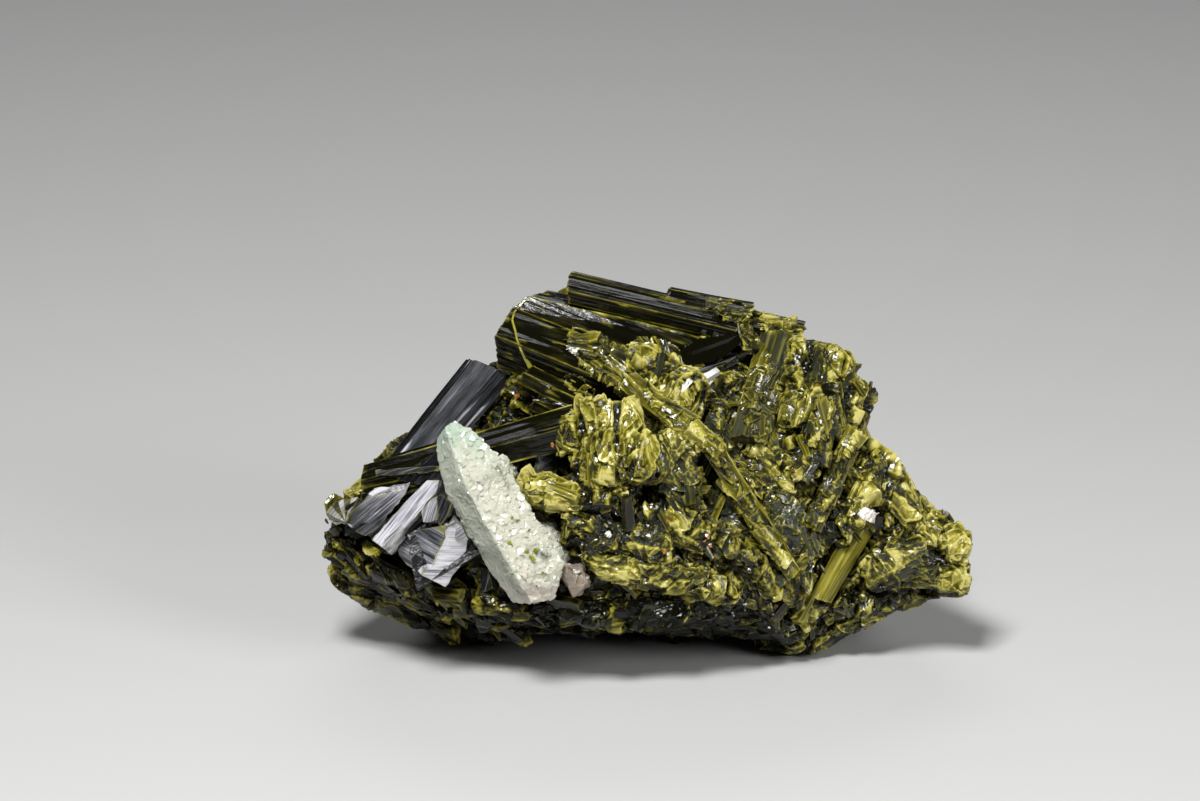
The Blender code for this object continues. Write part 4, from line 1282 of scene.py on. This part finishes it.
def panel(
    heap,
    outline,
    streak,
    tone,
    lift=0.3,
    thick=1.5,
    slope=0.0,
    tilt=(0, 0),
    rough=0.06,
    lane=0.3,
    spread=0.15,
    turned=0.0,
):
    """A closed slab whose front is `outline`, streaked at an angle in degrees.

    slope adds tone along the streaks; tilt and turned lean the slab's face across, up and to the viewer.
    """
    chance = random.Random(str(outline))
    centre, normal = facing_plane(outline)
    normal = (normal + Vector((tilt[0], 0, 0)) + VIEW_UP * tilt[1] + FACING * turned).normalized()
    if normal.dot(FACING) < PANEL_FACING:
        normal = (normal + FACING * 0.8).normalized()
    centre = centre + FACING * lift * MM
    border = [on_plane(*corner, centre, normal) for corner in ragged(outline, chance, rough)]
    along = laid_on(view_direction(streak), normal).normalized()
    over = normal.cross(along)
    bm = bmesh.new()
    face = bm.faces.new([bm.verts.new(point) for point in border])
    if face.normal.dot(normal) < 0:
        face.normal_flip()
    back = bmesh.ops.extrude_face_region(bm, geom=[face])
    moved = [item for item in back["geom"] if isinstance(item, bmesh.types.BMVert)]
    bmesh.ops.translate(bm, verts=moved, vec=-normal * thick * MM - FACING * PANEL_BACK)
    bmesh.ops.recalc_face_normals(bm, faces=bm.faces)
    shift = bm.verts.layers.float.new("shift")
    slice_bands(bm, over, lane * MM, lane * 0.12 * MM, chance, shift)
    slice_bands(bm, along, PANEL_BAND, 0, chance, shift)
    bmesh.ops.triangulate(bm, faces=bm.faces)
    bm.verts.index_update()
    points = corner_array(bm)
    shifts = np.array([vertex[shift] for vertex in bm.verts])
    faces = triangle_array(bm)
    bm.free()
    sides = zip(border, border[1:] + border[:1])
    edge = tree_of([start.lerp(end, i / EDGE_PARTS) for start, end in sides for i in range(EDGE_PARTS)])
    # rim: a painted glow of light along the panel's thin edges
    rim = np.array([max(0.0, 1 - edge.find(Vector(point))[2] / PANEL_EDGE) for point in points])
    gap = (points - np.array(centre)) / MM
    lanes = np.stack([gap @ np.array(over), gap @ np.array(normal), gap @ np.array(along)], axis=1)
    seed = Vector([chance.uniform(0, 50) for _ in range(3)])
    places = [Vector((row[0] / PANEL_LANE[0], 0, row[2] / PANEL_LANE[1])) + seed for row in lanes]
    tones = tone + (spread * np.array([noise.noise(spot) for spot in places]) + slope * lanes[:, 2])
    points = points + np.outer(np.where(rim > 0, 0, shifts), np.array(normal))
    heap.add(points, faces, rim, tones, 0.0, lanes + np.array(seed))


def panel_piece(name, material, panels):
    """One piece made of panels, each (outline in pixels, streak, tone, other values)."""
    heap = Heap()
    for outline, streak, tone, values in panels:
        panel(heap, px(*outline), streak, tone, **values)
    heap.make(name, material)


# The cleavage blades at the lower left, pale with the painted reflection
FAN_PANELS = (
    (
        ((347, 517), (367, 498), (407, 489), (405, 494), (377, 529), (365, 536), (356, 532)),
        48,
        0.5,
        {"slope": 0.06, "lift": 0.9},
    ),
    (
        (
            (372, 540), (392, 516), (427, 480), (439, 480), (436, 492),
            (419, 512), (403, 530), (395, 542), (384, 549),
        ),
        49,
        0.85,
        {"lift": 1.1},
    ),
    (
        ((384, 549), (395, 537), (404, 528), (400, 542), (396, 551), (391, 555)),
        56,
        0.85,
        {"lift": 1.3},
    ),
    (
        ((421, 511), (431, 499), (437, 496), (436, 520), (423, 522)),
        70,
        0.75,
        {"lift": 1.5, "tilt": (-0.4, 0.2)},
    ),
    (
        ((437, 496), (441, 494), (452, 503), (448, 515), (440, 526), (436, 520)),
        60,
        0.35,
        {"lift": 1.5, "tilt": (0.4, 0)},
    ),
    (
        (
            (396, 546), (407, 533), (434, 527), (447, 526), (441, 545),
            (433, 566), (421, 574), (407, 565), (399, 555),
        ),
        -13,
        0.5,
        {"lift": 1.0, "spread": 0.3},
    ),
    (
        (
            (447, 526), (461, 528), (467, 540), (465, 556), (461, 565),
            (445, 587), (421, 575), (433, 566), (441, 545),
        ),
        -16,
        0.95,
        {"lift": 1.1, "spread": 0.3, "slope": 0.02, "tilt": (0.1, 0.1)},
    ),
    (((447, 526), (453, 519), (462, 527), (468, 540), (457, 541)), 40, 0.6, {"lift": 1.4}),
    (((444, 588), (456, 577), (463, 590), (460, 596), (449, 592)), 20, 0.3, {"lift": 0.8}),
    # A white glint on the left prism: a painted highlight
    (((368, 494), (375, 488), (394, 486), (387, 489), (372, 496)), 14, 0.95, {"lift": 0.8}),
)

# Black and white blades that spread from one point at the left tip, white with the painted reflection: two
# corners and the tone
TIP = (345, 522)
TIP_BLADES = (
    ((326, 512), (331, 505), 0.75),
    ((332, 504), (337, 501), 0.3),
    ((338, 501), (343, 499), 0.85),
    ((344, 499), (351, 498), 0.25),
    ((351, 498), (357, 497), 0.9),
    ((357, 498), (363, 499), 0.35),
    ((327, 514), (329, 520), 0.2),
    ((330, 521), (336, 525), 0.7),
)
TIP_VALUES = {"lift": 1.3, "thick": 1.2, "rough": 0.03}
TIP_PANELS = [((TIP, first, second), 60, tone, TIP_VALUES) for first, second, tone in TIP_BLADES]

# The thin pale vein that crosses the thickest prism, as the middles of its bends
VEIN = (
    (525, 300), (519, 306), (514, 312), (512, 320), (515, 330),
    (517, 340), (521, 351), (525, 360), (529, 368),
)
VEIN_HALF = 0.9
VEIN_VALUES = {"lift": 0.3, "thick": 0.7, "rough": 0.01}


def vein_outline(start, end):
    """A stretch of the vein as four corners, in pixels."""
    (x0, y0), (x1, y1) = start, end
    away = Vector((y1 - y0, x0 - x1)).normalized() * VEIN_HALF
    left = ((x0 + away.x, y0 + away.y), (x1 + away.x, y1 + away.y))
    return (*left, (x1 - away.x, y1 - away.y), (x0 - away.x, y0 - away.y))


VEIN_PANELS = [(vein_outline(start, end), 90, 0.36, VEIN_VALUES) for start, end in zip(VEIN, VEIN[1:])]

# A black sheet at the upper right: a painted shadow in the hollow
HOLLOW_PANELS = (
    (
        ((680, 350), (700, 338), (738, 334), (742, 341), (730, 352), (712, 362), (690, 366), (682, 360)),
        20,
        -0.4,
        {"lift": 2.0, "thick": 1.2, "spread": 0.03, "turned": 4.0, "lane": 0.8},
    ),
)

# Painted highlights and reflection: the white glint below the hollow and the pale bars beside the quartz
GLINT_PANELS = (
    (
        ((693, 379), (716, 367), (720, 371), (698, 384)),
        27,
        1.6,
        {"lift": 2.3, "thick": 0.8, "rough": 0.02, "spread": 0.1},
    ),
    (
        ((694, 372), (706, 362), (730, 352), (737, 355), (722, 366)),
        27,
        0.35,
        {"lift": 1.4, "thick": 0.8, "spread": 0.5},
    ),
    (
        ((375, 470), (400, 468), (439, 466), (438, 471), (402, 474), (376, 476)),
        4,
        0.3,
        {"lift": 0.4, "thick": 0.6},
    ),
    (((540, 452), (556, 444), (562, 458), (556, 474), (538, 476)), 10, 0.3, {"lift": 0.6, "thick": 0.8}),
    (
        ((476, 566), (488, 570), (492, 588), (480, 594), (472, 582)),
        60,
        0.25,
        {"lift": 1.0, "thick": 1.0, "spread": 0.5},
    ),
)

panel_piece("fan_blades", SHEEN_CLEAVAGE, FAN_PANELS)
panel_piece("tip_blades", SHEEN_CLEAVAGE, TIP_PANELS)
panel_piece("pale_faces", GREEN, VEIN_PANELS)
panel_piece("painted_hollow_shadow", PAINTED_HOLLOW_SHADOW, HOLLOW_PANELS)
panel_piece("white_glints", SHEEN_CLEAVAGE, GLINT_PANELS)


# Shapes of loose pieces, one unit long

Shape = namedtuple("Shape", "points faces rim")
# The rim of each shape paints a glow of light through its thin edges, bright at the edges and dark in the
# middle
LATH_SIDES = (4, 5, 5, 6)
LATH_RINGS = ((-0.5, False), (-0.34, True), (0.32, True), (0.5, False))
FLAKE_SIDES = (6, 7, 8)
FLAKE_INNER = 0.68
BLOCK_CORNERS = 10
BLOCK_FLAT = 0.35


def rough_ring(chance, number, wobble, reach, turn=0.0):
    """Corners round a circle, unevenly spaced."""
    corners = []
    for i in range(number):
        angle = turn + math.tau * (i + chance.uniform(-wobble, wobble)) / number
        distance = chance.uniform(*reach)
        corners.append((math.cos(angle) * distance, math.sin(angle) * distance))
    return corners


def lath_shape(chance):
    """A splinter with slanted ends and chipped long edges."""
    sides = chance.choice(LATH_SIDES)
    corners = rough_ring(chance, sides, 0.22, (0.4, 0.52), chance.uniform(0, math.tau))
    outline, on_edge = [], []
    for (x0, y0), (x1, y1) in zip(corners, corners[1:] + corners[:1]):
        outline += [(x0, y0), ((x0 + x1) / 2, (y0 + y1) / 2)]
        on_edge += [1.0, 0.0]
    slants = [(chance.uniform(-0.25, 0.25), chance.uniform(-0.25, 0.25)) for _ in range(2)]
    bow = chance.uniform(-0.15, 0.15)
    taper = chance.uniform(0.6, 1.0)
    points, rim = [], []
    for height, inner in LATH_RINGS:
        slant_x, slant_y = slants[height > 0]
        size = 1 + (taper - 1) * (height + 0.5)
        for (x, y), edge in zip(outline, on_edge):
            lift = slant_x * x + slant_y * y
            points.append((x * size + bow * height * height, y * size, height + lift * 0.5))
            rim.append(edge if inner else 1.0)
    ring = len(outline)
    faces = []
    for level in range(len(LATH_RINGS) - 1):
        for i in range(ring):
            low, high = level * ring + i, level * ring + (i + 1) % ring
            faces += [(low, high, high + ring), (low, high + ring, low + ring)]
    for level, flip in ((0, True), (len(LATH_RINGS) - 1, False)):
        centre = len(points)
        block = np.array(points[level * ring : (level + 1) * ring])
        points.append(tuple(block.mean(0)))
        rim.append(0.35)
        for i in range(ring):
            low, high = level * ring + i, level * ring + (i + 1) % ring
            faces.append((high, low, centre) if flip else (low, high, centre))
    return Shape(np.array(points), np.array(faces), np.array(rim))


def flake_shape(chance):
    """A thin chip with a sharp ragged edge, swollen in the middle."""
    number = chance.choice(FLAKE_SIDES)
    outline = rough_ring(chance, number, 0.3, (0.32, 0.52))
    dish = chance.uniform(-0.5, 0.5)
    points = [(x, dish * (x * x + z * z) * 2, z) for x, z in outline]
    rim = [1.0] * number
    faces = []
    for sense in (1, -1):
        first = len(points)
        for x, z in outline:
            x, z = x * FLAKE_INNER, z * FLAKE_INNER
            points.append((x, sense * 0.42 + dish * (x * x + z * z) * 2, z))
            rim.append(0.3)
        centre = len(points)
        points.append((chance.uniform(-0.1, 0.1), sense * 0.5, chance.uniform(-0.1, 0.1)))
        rim.append(0.0)
        for i in range(number):
            j = (i + 1) % number
            new = [(i, j, first + j), (i, first + j, first + i), (first + i, first + j, centre)]
            faces += [face[::-1] if sense > 0 else face for face in new]
    return Shape(np.array(points), np.array(faces), np.array(rim))


def block_shape(chance):
    """A small broken block: a convex lump whose flat faces are darker in their middles, with a painted glow
    of light at its thin edges.
    """
    bm = bmesh.new()
    for _ in range(BLOCK_CORNERS):
        way = Vector([chance.gauss(0, 1) for _ in range(3)]).normalized()
        bm.verts.new(way * chance.uniform(0.42, 0.5))
    hull = bmesh.ops.convex_hull(bm, input=bm.verts)
    loose = [item for item in hull["geom_interior"] if isinstance(item, bmesh.types.BMVert)]
    bmesh.ops.delete(bm, geom=loose, context="VERTS")
    bmesh.ops.dissolve_limit(bm, angle_limit=BLOCK_FLAT, verts=bm.verts, edges=bm.edges)
    edge_count = len(bm.verts)
    bmesh.ops.poke(bm, faces=bm.faces)
    bmesh.ops.recalc_face_normals(bm, faces=bm.faces)
    bm.verts.index_update()
    points, faces = corner_array(bm), triangle_array(bm)
    bm.free()
    return Shape(points, faces, np.where(np.arange(len(points)) < edge_count, 1.0, 0.0))


def place(heap, shape, point, along, out, size, tone, grey, chance):
    """Adds one shape: size is (wide, thick, long) in metres, out the way its broad face looks."""
    along = along.normalized()
    side = out.cross(along)
    if side.length < WELD:
        side = along.orthogonal()
    side.normalize()
    turn = np.array([side, along.cross(side), along])
    local = shape.points * np.array(size)
    start = np.array([chance.uniform(0, 90) for _ in range(3)])
    heap.add(local @ turn + np.array(point), shape.faces, shape.rim, tone, grey, local / MM + start)


# Specks of rust and the small inclusions of the quartz: the pixel across and down, and the size

RUST_SPOTS = (
    (707, 536, 0.9),
    (710, 545, 0.6),
    (704, 541, 0.5),
    (668, 521, 0.7),
    (670, 516, 0.4),
    (795, 470, 0.5),
    (517, 396, 0.8),
    (552, 445, 0.6),
    (664, 551, 0.6),
)
INCLUSION_SPOTS = (
    (510, 543, 0.8),
    (527, 551, 0.8),
    (531, 558, 0.9),
    (536, 551, 0.9),
    (542, 573, 0.6),
    (512, 518, 0.5),
)


def specks(name, spots, colour, proud):
    """Small broken lumps at chosen places of the front view."""
    made, tree, shader = node_material(name)
    cloud = clouds(tree, read(tree, "grain", vector=True), rate=2.5)
    dark = tuple(part * 0.35 for part in colour)
    link(tree, ramp(tree, cloud, [(0.35, dark), (0.65, colour)]), shader.inputs["Base Color"])
    link(tree, maths(tree, "MULTIPLY_ADD", cloud, 0.4, 0.05), shader.inputs["Roughness"])
    chance = random.Random(name)
    heap = Heap()
    for x, y, size in spots:
        point = SURFACE.seen_at(*px((x, y))[0])[0] + FACING * proud * MM
        along = (VIEW_UP + Vector((chance.gauss(0, 1), 0, 0))).normalized()
        reach = (size * MM, size * 0.6 * MM, size * chance.uniform(1, 1.6) * MM)
        place(heap, block_shape(chance), point, along, FACING, reach, 0.5, 0.0, chance)
    heap.make(name, made)


specks("rust_specks", RUST_SPOTS, (0.40, 0.17, 0.04), 0.75)
specks("quartz_inclusions", INCLUSION_SPOTS, (0.26, 0.27, 0.02), 0.16)


# Loose laths, flakes and blocks on the crust

CHIP_KINDS = {"lath": 4, "flake": 5, "block": 1}
BOX_SPARE = 0.3 * MM
FRONT_CHIPS = ((2.6, 0.8), (1.6, 0.42))
HIDDEN_CHIPS = 500
HIDDEN_SCALE = 0.6
CHIP_FLOOR = 1.5 * MM


def inside_box(point):
    return all(CAD_BOX[0][i] + BOX_SPARE < point[i] < CAD_BOX[1][i] - BOX_SPARE for i in range(3))


def chip(heap, shapes, spot, scale, chance):
    """One lath, flake or block on the surface, in its zone's colours and direction."""
    point, normal, zone = spot
    along = (zone_direction(zone, normal, chance, point) + normal * chance.uniform(-0.1, 0.5)).normalized()
    out = (normal + Vector([chance.gauss(0, 0.35) for _ in range(3)])).normalized()
    kind = chance.choices(list(CHIP_KINDS), list(CHIP_KINDS.values()))[0]
    long = zone.length * scale * chance.uniform(0.55, 1.5)
    if kind == "lath":
        wide = long * chance.uniform(0.25, 0.5)
        size = (wide, wide * chance.uniform(0.4, 0.9), long)
    elif kind == "flake":
        long *= 0.75
        size = (long * chance.uniform(0.6, 1), long * chance.uniform(0.1, 0.22), long)
    else:
        long *= 0.6
        size = (long * chance.uniform(0.7, 1), long * chance.uniform(0.6, 1), long)
    half = along * long * 0.5 * MM
    centre = point + normal * size[1] * 0.2 * MM
    if not (inside_box(centre - half) and inside_box(centre + half)):
        return
    tone, spread, grey = chance.choice(PALETTES[zone.palette])
    size = tuple(part * MM for part in size)
    tone += chance.gauss(0, spread)
    place(heap, chance.choice(shapes[kind]), centre, along, out, size, tone, grey, chance)


def build_chips():
    chance = random.Random(SEED + 1)
    shapes = {
        "lath": [lath_shape(chance) for _ in range(14)],
        "flake": [flake_shape(chance) for _ in range(12)],
        "block": [block_shape(chance) for _ in range(12)],
    }
    heap = Heap()
    for step, scale in FRONT_CHIPS:
        for spot in front_spots(step, chance):
            chip(heap, shapes, spot, scale, chance)
    heap.make("front_chips", GREEN)
    heap = Heap()
    for spot in hidden_spots(HIDDEN_CHIPS, chance):
        if spot[0].z > CHIP_FLOOR:
            chip(heap, shapes, spot, HIDDEN_SCALE, chance)
    heap.make("hidden_chips", GREEN)


build_chips()


# Camera, floor and light, in metres

SENSOR = 36
FLOOR_HALF = 3.0
LIGHT_TARGET = Vector((0, 0, 0.02))
SOFTBOXES = (
    ("key_softbox", (-0.1, -0.3, 0.47), (0.14, 0.14), 4.6),
    ("side_softbox", (0.38, -0.32, 0.24), (0.18, 0.18), 1.6),
    ("back_softbox", (0.0, 0.4, 0.4), (0.5, 0.15), 0.6),
)


def add_camera():
    data = bpy.data.cameras.new("camera")
    data.sensor_width = SENSOR
    data.lens = SENSOR * VIEW_DISTANCE / VIEW_WIDTH
    data.clip_start = 0.01
    data.clip_end = 20
    camera = bpy.data.objects.new("camera", data)
    camera.location = EYE
    camera.rotation_euler = (math.radians(90) - VIEW_TILT, 0, 0)
    bpy.context.scene.collection.objects.link(camera)
    bpy.context.scene.camera = camera


def add_softbox(name, place_at, size, power):
    data = bpy.data.lights.new(name, "AREA")
    data.shape = "RECTANGLE"
    data.size, data.size_y = size
    data.energy = power
    light = bpy.data.objects.new(name, data)
    light.location = place_at
    light.rotation_euler = (LIGHT_TARGET - light.location).to_track_quat("-Z", "Y").to_euler()
    bpy.context.scene.collection.objects.link(light)


def add_floor():
    mesh = bpy.data.meshes.new("floor")
    corners = [(x * FLOOR_HALF, y * FLOOR_HALF, 0) for x, y in ((-1, -1), (1, -1), (1, 1), (-1, 1))]
    mesh.from_pydata(corners, [], [(0, 1, 2, 3)])
    made, _, _ = node_material("pale_floor", Base_Color=(0.46, 0.46, 0.455, 1), Roughness=0.6)
    mesh.materials.append(made)
    floor = bpy.data.objects.new("floor", mesh)
    bpy.context.scene.collection.objects.link(floor)


def add_world():
    world = bpy.data.worlds.new("studio")
    world.use_nodes = True
    background = world.node_tree.nodes["Background"]
    background.inputs["Color"].default_value = (0.95, 0.97, 1.0, 1)
    background.inputs["Strength"].default_value = 0.03
    bpy.context.scene.world = world


add_camera()
add_floor()
add_world()
for softbox in SOFTBOXES:
    add_softbox(*softbox)
bpy.context.scene.view_settings.view_transform = "Standard"
